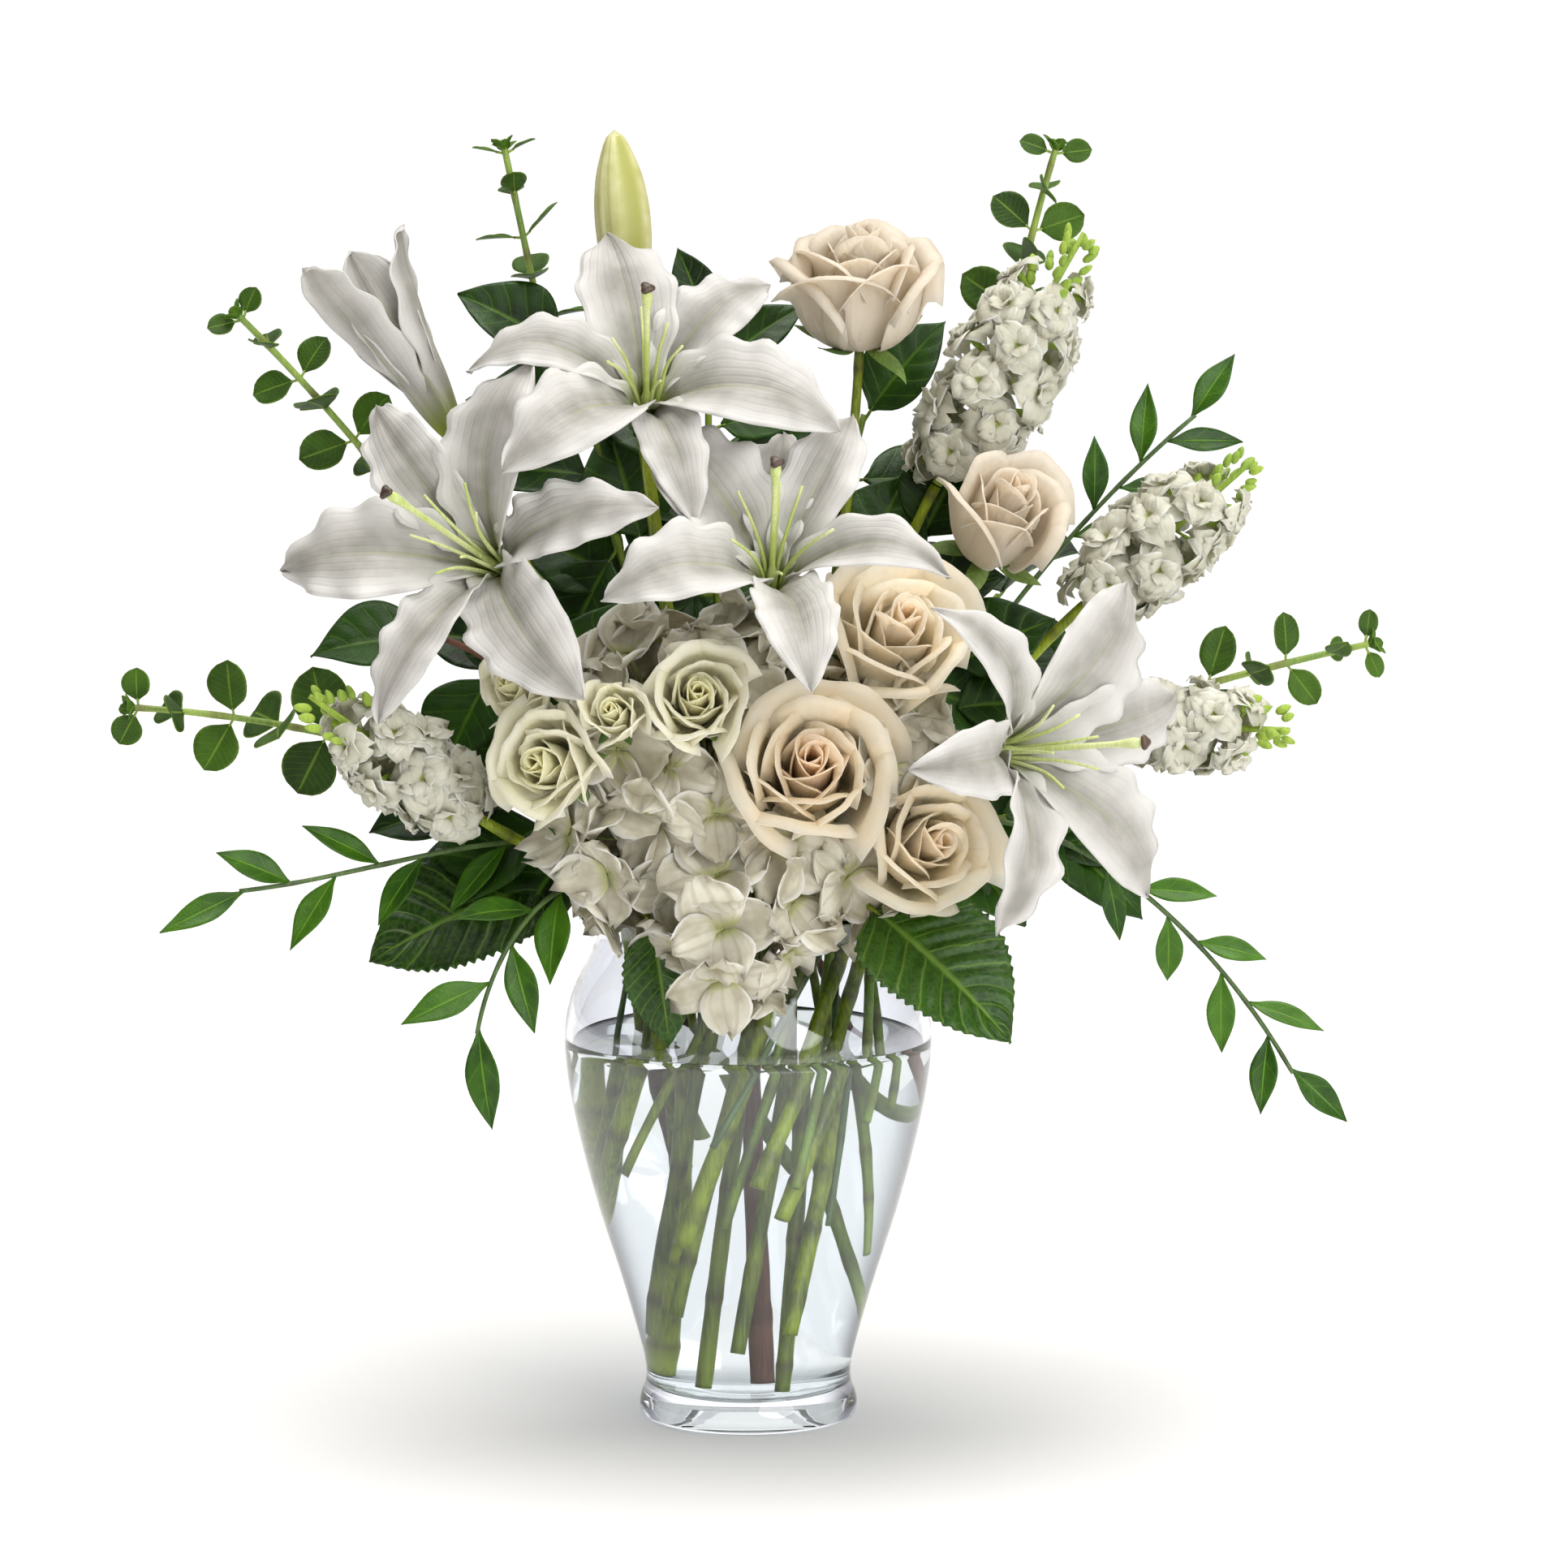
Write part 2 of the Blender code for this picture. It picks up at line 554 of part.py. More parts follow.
def build_water(paths, radii):
    """The water: it fills the vase up to its level, all round the stems."""
    outer = np.array(VASE_WALL_POINTS)
    gap = VASE_WALL + 2 * CLEARANCE
    wall = [(0.0385, VASE_FLOOR + 0.0022)]
    for radius, z in outer:
        if VASE_FLOOR + 0.008 < z < WATER_LEVEL:
            wall.append((float(radius) - gap, float(z)))
    rim = float(np.interp(WATER_LEVEL, outer[:, 1], outer[:, 0])) - gap
    bm = bmesh.new()
    turned(bm, [(0, VASE_FLOOR + CLEARANCE * 2), *wall, (rim, WATER_LEVEL), (0, WATER_LEVEL)], VASE_FACETS)
    water = add_object("water", bm, finish("water", WATER, 0.02, alpha=0.25))
    holes = bmesh.new()
    for path, radius in zip(paths, radii):
        foot, neck = path[0], path[1]
        stalk(holes, [foot - (neck - foot).normalized() * CLEARANCE, neck], [radius + CLEARANCE] * 2)
    cut_away(water, holes)


def swollen(item, by):
    """A copy of an item's shape, a little fatter all round."""
    bm = bmesh.new()
    bm.from_mesh(item.data)
    bm.transform(item.matrix_world)
    bm.normal_update()
    for vert in bm.verts:
        vert.co += vert.normal * by
    mesh = bpy.data.meshes.new("swollen")
    bm.to_mesh(mesh)
    bm.free()
    return mesh


def bounds(item):
    points = np.array([item.matrix_world @ vert.co for vert in item.data.vertices])
    return points.min(axis=0), points.max(axis=0)


def make_room(item, others, limbs):
    """Cuts a soft head back wherever it would press into its neighbours, their stems or the vase."""
    low, high = bounds(item)
    pocket = bmesh.new()
    wall = [(r + 2 * CLEARANCE, z) for r, z in VASE_WALL_POINTS if z > 0.13]
    turned(pocket, [(0, wall[0][1]), *wall, (wall[-1][0], VASE_HEIGHT + 0.001), (0, VASE_HEIGHT + 0.001)], 40)
    for other in others:
        other_low, other_high = bounds(other)
        if (other_low < high).all() and (other_high > low).all():
            pocket.from_mesh(swollen(other, 2 * CLEARANCE))
    for points, radii in limbs:
        if any((low < point).all() and (point < high).all() for point in map(np.array, points)):
            stalk(pocket, points, [radius + 3 * CLEARANCE for radius in radii])
    cut_away(item, pocket)


def side_branch(bm, path, back, end, arrival, radius):
    """A thinner branch that leaves a stem at a node and curves round to a flower of its own. Returns its points."""
    bm.normal_update()
    at, onward = along(path, back)
    face = bud_face(bm, at, (end - at).normalized())
    root = face.calc_center_median()
    reach = (end - root).length
    outward = (onward + face.normal * 0.9).normalized()
    points = [root, *hermite(root, outward * (0.9 * reach), end, arrival * (0.9 * reach), 4)]
    sections = []
    for i in range(1, len(points)):
        direction = (points[min(i + 1, len(points) - 1)] - points[i - 1]).normalized()
        sections.append(ring(points[i], direction, radius, 4))
    grow(bm, face, sections)
    return points


def build_stem(name, path, radius, material, leaves=(), branches=()):
    """A stem with leaves as (back, direction, upper, length, width, shape, droop) and side branches.

    Returns the (points, radii) of the stem and of each branch.
    """
    nodes = [row[0] for row in (*leaves, *branches)]
    points = with_nodes(path, nodes) if nodes else path
    total = sum((b - a).length for a, b in itertools.pairwise(points))
    radii, run = [], 0.0
    for i, point in enumerate(points):
        run += (point - points[i - 1]).length if i else 0.0
        radii.append(radius * (1 - 0.35 * run / total))
    bm = bmesh.new()
    stalk(bm, points, radii)
    for back, direction, upper, length, width, shape, droop in leaves:
        at, _ = along(path, back)
        blade(bm, at, direction, upper, length, width, shape, droop)
    limbs = [(points, radii)]
    for back, end, arrival, thin in branches:
        branch = side_branch(bm, path, back, end, arrival, thin)
        limbs.append((branch, [thin] * len(branch)))
    add_object(name, bm, material)
    return limbs


def flat_leaf(back, clock, forward, length, width, shape=BROAD_LEAF, droop=0.12):
    """A leaf whose upper side looks up and out of the bouquet."""
    direction = from_front(clock, forward)
    outward = Vector((direction.x * 0.4, -0.7 if forward > -30 else 0.7, 0.75))
    return back, direction, outward, length, width, shape, droop


def paired_leaves(path, pairs, length, width, spacing):
    """Opposite leaves in pairs, each pair turned a quarter from the last, larger away from the tip."""
    leaves = []
    for k in range(pairs):
        back = 0.004 + spacing * k
        _, onward = along(path, back)
        side = onward.cross(Vector((0, 1, 0))).normalized()
        other = onward.cross(side)
        grown = 0.55 + 0.45 * min(1.0, k / 3)
        for sign in (-1, 1):
            out = side if k % 2 == 0 else other
            direction = (out * sign + onward * 0.45).normalized()
            leaves.append((back, direction, onward - direction * 0.2, length * grown, width * grown, ROUND_LEAF, 0.0))
    return leaves


def alternate_leaves(path, count, length, width, spacing):
    """Lance-shaped leaves along alternate sides of a thin stem, one at its tip."""
    leaves = []
    for k in range(count):
        back = 0.003 + spacing * k
        _, onward = along(path, back)
        side = onward.cross(Vector((0, -1, 0))).normalized() * (1 if k % 2 else -1)
        direction = (onward * (1.0 if k else 3.0) + side * 0.9).normalized()
        upper = Vector((0, -0.8, 0.6))
        leaves.append((back, direction, upper, length, width, LANCE_LEAF, 0.06))
    return leaves


def bloom_base(centre, axis, back):
    """The point a bloom sits on, and the point just below it where its stem stops."""
    base = Vector(centre) - axis * back
    return base, base - axis * (3 * CLEARANCE)


def collect_stems():
    """Every stem as (name, end, arrival direction, radius, steps in its upper curve)."""
    stems = []
    for name, (throat, azimuth, elevation, _) in LILIES.items():
        axis = facing(azimuth, elevation)
        stems.append((name + "_stem", bloom_base(throat, axis, THROAT_DEPTH)[1], axis, LILY_STEM, 6))
    for name, (centre, azimuth, elevation, width) in ROSES.items():
        axis = facing(azimuth, elevation)
        stems.append((name + "_stem", bloom_base(centre, axis, ROSE_BACK * width)[1], axis, ROSE_STEM, 6))
    centre, azimuth, elevation, width = SPRAY_ROSES["spray_rose_1"]
    axis = facing(azimuth, elevation)
    stems.append(("spray_rose_stem", bloom_base(centre, axis, ROSE_BACK * width)[1], axis, SPRAY_STEM, 7))
    below = Vector((0.002, 0.0, HYDRANGEA_FLOOR - CLEARANCE * 2))
    stems.append(("hydrangea_stem", below, Vector((-0.2, -0.6, 0.7)).normalized(), HYDRANGEA_STEM, 2))
    for name, (base, tip, _) in STOCKS.items():
        axis = (Vector(tip) - Vector(base)).normalized()
        stems.append((name + "_stem", bloom_base(base, axis, 0)[1], axis, STOCK_STEM, 6))
    leafy = (
        (EUCALYPTUS, EUCALYPTUS_STEM),
        (RUSCUS, RUSCUS_STEM),
        (SALAL, SALAL_STEM),
        (HYDRANGEA_LEAVES, SALAL_STEM),
    )
    for table, radius in leafy:
        for name, row in table.items():
            stems.append((name, Vector(row[0]), from_front(*row[1]), radius, 8))
    return stems


def build_lilies(paths, green, white, bud_green):
    """The open lilies, the half-open one and the closed bud, on their stems and branches. Returns the limbs."""
    buds, limbs = {}, []
    for row, name, make, colour in (
        (HALF_OPEN, "lily_half_open", half_open_lily, white),
        (CLOSED, "lily_bud", closed_bud, bud_green),
    ):
        stem, back, base, tip = row
        axis = (Vector(tip) - Vector(base)).normalized()
        bm = bmesh.new()
        make(bm)
        add_object(name, bm, colour, flower_matrix(Vector(base), axis))
        buds[stem] = (back, bloom_base(base, axis, 0)[1], axis, 0.0026)
    for name, (throat, azimuth, elevation, clocks) in LILIES.items():
        stem = name + "_stem"
        axis = facing(azimuth, elevation)
        branches = [buds[stem]] if stem in buds else []
        limbs += build_stem(stem, paths[stem], LILY_STEM, green, branches=branches)
        bm = bmesh.new()
        lily_bloom(bm, clocks)
        add_object(name, bm, white, flower_matrix(bloom_base(throat, axis, THROAT_DEPTH)[0], axis))
    return limbs


def build_roses(paths, green, cream, white):
    """The single roses on their stems, and the spray whose four small roses share one. Returns the limbs."""
    branches, limbs = [], []
    for table, colour in ((ROSES, cream), (SPRAY_ROSES, white)):
        for name, (centre, azimuth, elevation, width) in table.items():
            axis = facing(azimuth, elevation)
            base, below = bloom_base(centre, axis, ROSE_BACK * width)
            bm = bmesh.new()
            rose_bloom(bm, width)
            add_object(name, bm, colour, flower_matrix(base, axis))
            if table is ROSES:
                limbs += build_stem(name + "_stem", paths[name + "_stem"], ROSE_STEM, green)
            elif name != "spray_rose_1":
                branches.append((0.078 - 0.022 * len(branches), below, axis, 0.0014))
    limbs += build_stem("spray_rose_stem", paths["spray_rose_stem"], SPRAY_STEM, green, branches=branches)
    return limbs


def build_greens(paths):
    """The leafy sprigs and the large single leaves. Returns the limbs."""
    limbs = []
    for name, (_, _, pairs, length, width, spacing) in EUCALYPTUS.items():
        leaves = paired_leaves(paths[name], pairs, length, width, spacing)
        material = finish("eucalyptus green", EUCALYPTUS_GREEN, 0.6)
        limbs += build_stem(name, paths[name], EUCALYPTUS_STEM, material, leaves)
    for name, (_, _, count, length, width, spacing) in RUSCUS.items():
        leaves = alternate_leaves(paths[name], count, length, width, spacing)
        limbs += build_stem(name, paths[name], RUSCUS_STEM, finish("ruscus green", RUSCUS_GREEN, 0.4), leaves)
    for name, (_, _, rows) in {**SALAL, **HYDRANGEA_LEAVES}.items():
        leaves = [flat_leaf(*row) for row in rows]
        limbs += build_stem(name, paths[name], SALAL_STEM, finish("salal green", SALAL_GREEN, 0.4), leaves)
    return limbs


def build():
    stems = collect_stems()
    radii = [stem[3] for stem in stems]
    slots = settle_neck([stem[1] for stem in stems], radii)
    paths = {}
    for (name, end, arrival, radius, steps), slot in zip(stems, slots):
        paths[name] = stem_path(name, slot, radius, end, arrival, steps)

    green, bud_green = finish("stem green", STEM_GREEN, 0.5), finish("bud green", BUD_GREEN, 0.5)
    spray_white = finish("spray white", SPRAY_WHITE, 0.55)
    limbs = build_lilies(paths, green, finish("lily white", LILY_WHITE, 0.5), bud_green)
    limbs += build_roses(paths, green, finish("rose cream", ROSE_CREAM, 0.55), spray_white)
    for name, (base, tip, width) in STOCKS.items():
        limbs += build_stem(name + "_stem", paths[name + "_stem"], STOCK_STEM, green)
        axis = Vector(tip) - Vector(base)
        bm = bmesh.new()
        stock_head(bm, axis.length, width)
        stock_white = finish("stock white", STOCK_WHITE, 0.6)
        add_object(name, bm, stock_white, flower_matrix(Vector(base), axis.normalized()))
    limbs += build_greens(paths)
    limbs += build_stem("hydrangea_stem", paths["hydrangea_stem"], HYDRANGEA_STEM, green)

    neighbours = [item for item in bpy.context.scene.objects if not item.name.endswith("_stem")]
    bm = bmesh.new()
    lobed_head(bm, HYDRANGEA_CENTRE, [(Vector(c), r) for c, r in HYDRANGEA_LOBES])
    hydrangea = add_object("hydrangea", bm, finish("hydrangea white", HYDRANGEA_WHITE, 0.6))
    make_room(hydrangea, neighbours, limbs)
    build_vase()
    build_water(list(paths.values()), radii)


for item in list(bpy.data.objects):
    bpy.data.objects.remove(item)
build()
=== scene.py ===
import math
import random
from functools import partial

import bmesh
import bpy
import numpy as np
from mathutils import Matrix, Vector, noise


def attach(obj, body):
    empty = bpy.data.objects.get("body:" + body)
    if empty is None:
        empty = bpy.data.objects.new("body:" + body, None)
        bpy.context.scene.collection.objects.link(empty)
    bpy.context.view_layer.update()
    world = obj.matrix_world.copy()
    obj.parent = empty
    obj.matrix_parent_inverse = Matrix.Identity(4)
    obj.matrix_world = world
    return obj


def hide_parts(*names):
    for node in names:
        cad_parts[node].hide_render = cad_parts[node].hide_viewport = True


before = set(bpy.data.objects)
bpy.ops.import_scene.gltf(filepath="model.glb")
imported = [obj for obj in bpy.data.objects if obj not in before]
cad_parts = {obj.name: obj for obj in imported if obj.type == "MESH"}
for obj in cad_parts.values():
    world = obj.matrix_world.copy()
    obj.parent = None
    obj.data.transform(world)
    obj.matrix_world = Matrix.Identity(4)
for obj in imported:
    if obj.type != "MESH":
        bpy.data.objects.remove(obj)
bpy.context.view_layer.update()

# -------------------------------- studio and camera
# A matt pale table in a white studio: a wide soft box overhead, a lamp at the front right and another behind, dim
# side walls, darker on the left, and a white wall behind. They model the petals and draw the glass.

LENS_MM, SENSOR_MM = 114.54, 36.0
EYE, AIM = Vector((0.016, -2.200, 0.528)), Vector((0.016, 0.0, 0.284))


def to_linear(hex_colour):
    """An sRGB hex colour as the linear values that a shader takes."""
    parts = [int(hex_colour[i : i + 2], 16) / 255 for i in (1, 3, 5)]
    return (*[c / 12.92 if c <= 0.04045 else ((c + 0.055) / 1.055) ** 2.4 for c in parts], 1.0)


def add_node(tree, kind, settings=(), inputs=()):
    """Adds a node with its settings. Each input gets a value, a socket or the first live output of another node."""
    made = tree.nodes.new("ShaderNode" + kind)
    for name, value in dict(settings).items():
        setattr(made, name, value)
    for socket, source in dict(inputs).items():
        if isinstance(source, bpy.types.Node):
            source = next(output for output in source.outputs if output.enabled)
        if isinstance(source, bpy.types.NodeSocket):
            tree.links.new(source, made.inputs[socket])
        else:
            made.inputs[socket].default_value = source
    return made


def new_finish(name):
    """An empty material of that name, and what adds nodes to it."""
    material = bpy.data.materials.new(name)
    material.use_nodes = True
    material.node_tree.nodes.clear()
    return material, partial(add_node, material.node_tree)


# Settings that many nodes share: a soft step, a mix of colours, a size without its sign and a product.
SOFTLY, COLOURS = {"interpolation_type": "SMOOTHSTEP"}, {"data_type": "RGBA"}
SIZE_OF, TIMES = {"operation": "ABSOLUTE"}, {"operation": "MULTIPLY"}

bpy.context.scene.view_settings.view_transform = "Standard"
eye = bpy.data.cameras.new("camera")
eye.lens, eye.sensor_width = LENS_MM, SENSOR_MM
eye.clip_start, eye.clip_end = 0.05, 60.0
camera = bpy.data.objects.new("camera", eye)
camera.location = EYE
camera.rotation_euler = (AIM - EYE).to_track_quat("-Z", "Y").to_euler()
bpy.context.scene.collection.objects.link(camera)
bpy.context.scene.camera = camera

world = bpy.data.worlds.new("tent")
bpy.context.scene.world = world
world.use_nodes = True
world.node_tree.nodes.clear()
add = partial(add_node, world.node_tree)
sideways, away, up = add("SeparateXYZ", inputs={0: add("TexCoord").outputs["Generated"]}).outputs
walls = add("MapRange", inputs={0: sideways, 1: -0.7, 2: 0.7, 3: 0.12, 4: 0.44})
back_wall = add("MapRange", SOFTLY, {0: away, 1: 0.86, 2: 0.96, 4: 0.75})
soft_box = add("MapRange", SOFTLY, {0: up, 1: 0.84, 2: 0.98, 4: 6.3})
both = add("Math", inputs={0: add("Math", inputs={0: walls, 1: back_wall}), 1: soft_box})
studio = add("Background", inputs={"Color": to_linear("#FFFDFA"), "Strength": both})
# What shows through the glass is white behind it and dim at its two sides. Light that has met a petal, a stem or
# the table comes from the studio, whether or not it crosses the glass.
dimmer = add("MapRange", SOFTLY, {0: add("Math", SIZE_OF, {0: sideways}), 1: 0.44, 2: 0.88})
in_glass = add("Mix", COLOURS, {0: dimmer, 6: to_linear("#FFFFFF"), 7: to_linear("#62626E")})
through_glass = add("Background", inputs={"Color": in_glass, "Strength": 1.12})
backdrop = add("Background", inputs={"Color": to_linear("#FFFFFF"), "Strength": 1.02})
rays = add("LightPath").outputs
unmet = add("Math", {"operation": "LESS_THAN"}, {0: rays["Diffuse Depth"], 1: 0.5})
looked_through = add("Math", TIMES, {0: rays["Is Transmission Ray"], 1: unmet})
lit = add("MixShader", inputs={0: looked_through, 1: studio, 2: through_glass})
add("OutputWorld", inputs={0: add("MixShader", inputs={0: rays["Is Camera Ray"], 1: lit, 2: backdrop})})

for lamp_name, place, size, watts in (
    ("lamp_front_right", (1.15, -1.85, 1.05), 1.7, 30.0),
    ("lamp_back_left", (-1.2, 1.3, 2.1), 1.2, 4.0),
):
    lamp = bpy.data.lights.new(lamp_name, "AREA")
    lamp.shape, lamp.size, lamp.energy = "DISK", size, watts
    stand = bpy.data.objects.new(lamp_name, lamp)
    stand.location = place
    stand.rotation_euler = (Vector((0, 0, 0.3)) - Vector(place)).to_track_quat("-Z", "Y").to_euler()
    bpy.context.scene.collection.objects.link(stand)

bm = bmesh.new()
bmesh.ops.create_circle(bm, cap_ends=True, segments=96, radius=9.0)
mesh = bpy.data.meshes.new("table_top")
bm.to_mesh(mesh)
bm.free()
table_top = bpy.data.objects.new("table_top", mesh)
bpy.context.scene.collection.objects.link(table_top)
paper, add = new_finish("matt pale paper")
pulp = {"Base Color": to_linear("#E9E9E9"), "Roughness": 0.9, "Specular IOR Level": 0.1}
shader = add("BsdfPrincipled", inputs=pulp)
add("OutputMaterial", inputs={0: shader})
mesh.materials.append(paper)

# -------------------------------- the vase
# An urn of clear soda-lime glass, blown into a mould: a thick cast foot, a wall 3.5 mm thick that
# swells to the shoulder and draws in at the neck, and a fire-polished lip.

VASE_WALL, VASE_FLOOR = 0.0035, 0.012
# The wall's outside as (radius, height), from the foot to the lip.
VASE_OUTSIDE = (
    (0.0486, 0.0022), (0.0489, 0.0045), (0.0484, 0.009), (0.0460, 0.016), (0.0470, 0.028), (0.0560, 0.060),
    (0.0680, 0.098), (0.0775, 0.136), (0.0818, 0.166), (0.0795, 0.188), (0.0705, 0.208), (0.0662, 0.218),
    (0.0670, 0.225), (0.0683, 0.2284),
)
VASE_LIP = ((0.0682, 0.2294), (0.0673, 0.2300), (0.0660, 0.2298), (0.0651, 0.2290))
VASE_ROUND = 128
# Points nearer than this, a thousandth of a millimetre, are one.
TOUCHING = 1e-6


def smooth_line(points, count):
    """That many evenly spaced points of a smooth curve through the given ones."""
    known = np.array(points, float)
    known = np.vstack([2 * known[0] - known[1], known, 2 * known[-1] - known[-2]])
    t = np.linspace(0, 1, 12, endpoint=False)[:, None]
    runs = [
        0.5 * (2 * b + (c - a) * t + (2 * a - 5 * b + 4 * c - d) * t**2 + (3 * b - a - 3 * c + d) * t**3)
        for a, b, c, d in zip(known, known[1:], known[2:], known[3:])
    ]
    dense = np.vstack([*runs, known[-2]])
    run = np.concatenate([[0], np.cumsum(np.linalg.norm(np.diff(dense, axis=0), axis=1))])
    even = np.linspace(0, run[-1], count)
    return np.column_stack([np.interp(even, run, axis) for axis in dense.T])


def turned(outline):
    """A bmesh of the body of revolution about Z whose outline starts and ends on the axis."""
    bm = bmesh.new()
    verts = [bm.verts.new((r, 0, z)) for r, z in outline]
    edges = [bm.edges.new(pair) for pair in zip(verts, verts[1:])]
    full = 2 * math.pi
    bmesh.ops.spin(bm, geom=verts + edges, cent=(0, 0, 0), axis=(0, 0, 1), angle=full, steps=VASE_ROUND, use_merge=True)
    bmesh.ops.remove_doubles(bm, verts=bm.verts, dist=TOUCHING)
    return bm


def finished(name, bm, material, node, thickness=0.0, place=None):
    """The bmesh as a smooth piece that stands for a CAD node, moved to its place. A sheet gets its thickness."""
    bmesh.ops.recalc_face_normals(bm, faces=bm.faces)
    if place is not None:
        bm.transform(place)
    mesh = bpy.data.meshes.new(name)
    bm.to_mesh(mesh)
    bm.free()
    mesh.shade_smooth()
    mesh.materials.append(material)
    piece = bpy.data.objects.new(name, mesh)
    bpy.context.scene.collection.objects.link(piece)
    if thickness:
        thicken = piece.modifiers.new("thickness", "SOLIDIFY")
        thicken.thickness, thicken.offset = thickness, 0.0
    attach(piece, "root")
    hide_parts(node)


def clear_finish(name, colour, shade, ior, scale, detail, unevenness, haze=0.0):
    """A clear body with slow waves at its surface, that lets light cast a faint tinted shadow."""
    material, add = new_finish(name)
    waves = add("TexNoise", inputs={"Vector": add("TexCoord").outputs["Object"], "Scale": scale, "Detail": detail})
    ripple = add("Bump", inputs={"Height": waves, "Strength": unevenness, "Distance": 0.001})
    roughness = add("MapRange", inputs={0: waves, 1: 0.3, 2: 0.7, 4: haze}) if haze else 0.0
    surface = {"Base Color": to_linear(colour), "Roughness": roughness, "IOR": ior, "Normal": ripple}
    shader = add("BsdfPrincipled", inputs={**surface, "Transmission Weight": 1.0})
    clear = add("BsdfTransparent", inputs={0: to_linear(shade)})
    shadow = add("LightPath").outputs["Is Shadow Ray"]
    add("OutputMaterial", inputs={0: add("MixShader", inputs={0: shadow, 1: shader, 2: clear})})
    return material


def inner_wall(top, count, gap):
    """The wall's inside from above the floor up to top, at that many heights, and gap further out than the glass."""
    places = np.linspace(0.0205, top, count)
    return [(float(np.interp(z, heights, outside[:, 0])) - VASE_WALL + gap, float(z)) for z in places]


outside = smooth_line(VASE_OUTSIDE, 56)
heights = outside[:, 1]
foot_corner = [(0.0405, 0.0160), (0.0385, 0.0135), (0.0345, 0.0122), (0.0200, 0.0120)]
underside = [(0, 0.0022), (0.030, 0.0020), (0.0400, 0.0010), (0.0440, 0.0), (0.0470, 0.0003), (0.0482, 0.0011)]
inside = inner_wall(0.2275, 44, 0.0)[::-1]
vase_outline = [*underside, *outside.tolist(), *VASE_LIP, *inside, *foot_corner, (0, VASE_FLOOR)]

# Clear soda-lime glass, blown: colourless with a breath of blue, mirror-smooth, its wall very
# slightly uneven (waves some 30 mm long) from the mould.
glass = clear_finish("clear soda-lime glass, blown", "#F8FAFF", "#F4F6FA", 1.5, 33.0, 1.0, 0.06, haze=0.015)
finished("glass_vase", turned(vase_outline), glass, "vase")

# -------------------------------- the water
# Fresh tap water up to the shoulder. It wets the glass, so it climbs the wall a little at its rim,
# and reaches a hair into the glass so that no film of air shows between them.

WATER_LEVEL = 0.170
WET = 0.00015
water_wall = [(0.0344, 0.01205), (0.0385, 0.01335), (0.04055, 0.0158), *inner_wall(0.1712, 34, WET)]
rim = water_wall[-1][0]
meniscus = [(rim - 0.0008, WATER_LEVEL + 0.0004), (rim - 0.0022, WATER_LEVEL), (0.03, WATER_LEVEL)]
water_outline = [(0, 0.01195), *water_wall, *meniscus, (0, WATER_LEVEL)]

# Water: quite clear, a trace of green from the stems, lightly rippled at its top.
tap_water = clear_finish("fresh water", "#F7FBF6", "#F6FAF6", 1.333, 50.0, 0.0, 0.03)
finished("water_fill", turned(water_outline), tap_water, "water")

# -------------------------------- the flower stems
# Cut stems of lily, rose, spray rose, stock and hydrangea, stripped of their lower leaves. They are
# gathered at the neck in a loose spiral, so they cross below it and their cut ends fan out on the glass.

# The stems pass the neck within this reach of its middle, and are measured in a band half this high.
NECK_Z, NECK_REACH, NECK_BAND = 0.217, 0.058, 0.0025
# Above the neck a stem sets off as if it came from a place on the floor this far out, beside its place at the
# neck, and turned this far round from it.
BUNDLE_SCALE, BUNDLE_TURN = 0.68, math.radians(-108)
STEM_SIDES, BRANCH_SIDES = 12, 8
# A stem's rings are this far apart, and it swells over this length at a node.
RING_GAP, NODE_LENGTH = 0.0045, 0.0035


def facing(azimuth, elevation):
    """The direction of a flower turned azimuth degrees to the right of the front and tilted up by elevation."""
    a, e = math.radians(azimuth), math.radians(elevation)
    return Vector((math.sin(a) * math.cos(e), -math.cos(a) * math.cos(e), math.sin(e)))


def from_front(clock, forward):
    """A direction as the front shows it: clock 0 is up and 90 right, and forward is the lean towards the front."""
    c, f = math.radians(clock), math.radians(forward)
    return Vector((math.sin(c) * math.cos(f), -math.sin(f), math.cos(c) * math.cos(f)))


def growth_of(bm):
    """The layer in which every point keeps its place on its petal, leaf or stem."""
    return bm.verts.layers.float_vector.get("growth") or bm.verts.layers.float_vector.new("growth")


def grow_sheet(bm, across, along, shape, chance, closed=True):
    """Adds a sheet whose points shape(s, t) places: s goes from -1 to 1 across, and t from 0 at the foot to 1.

    Every point keeps (s, t, chance) as its growth, which the finishes follow. A closed sheet is joined where it meets
    itself.
    """
    growth = growth_of(bm)
    verts = bmesh.ops.create_grid(bm, x_segments=across, y_segments=along, size=1.0)["verts"]
    for vert in verts:
        s, t = vert.co.x, min(max((vert.co.y + 1) / 2, 0.0), 1.0)
        vert[growth] = (s, t, chance)
        vert.co = shape(s, t)
    if closed:
        bmesh.ops.remove_doubles(bm, verts=verts, dist=TOUCHING)


def stalk(bm, points, radii, sides, chance=0.0):
    """Adds a closed round stalk along points, with its radius at each."""
    points = [Vector(p) for p in points]
    last = len(points) - 1
    frames, side = [], None
    for i in range(last + 1):
        onward = (points[min(i + 1, last)] - points[max(i - 1, 0)]).normalized()
        side = side or onward.orthogonal()
        side = (side - onward * side.dot(onward)).normalized()
        frames.append((side, onward.cross(side)))

    def shape(s, t):
        i = round(t * last)
        u, v = frames[i]
        return points[i] + (u * math.cos(math.pi * s) + v * math.sin(math.pi * s)) * radii[i]

    grow_sheet(bm, sides, last, shape, chance)
    bmesh.ops.holes_fill(bm, edges=[e for e in bm.edges if e.is_boundary], sides=0)


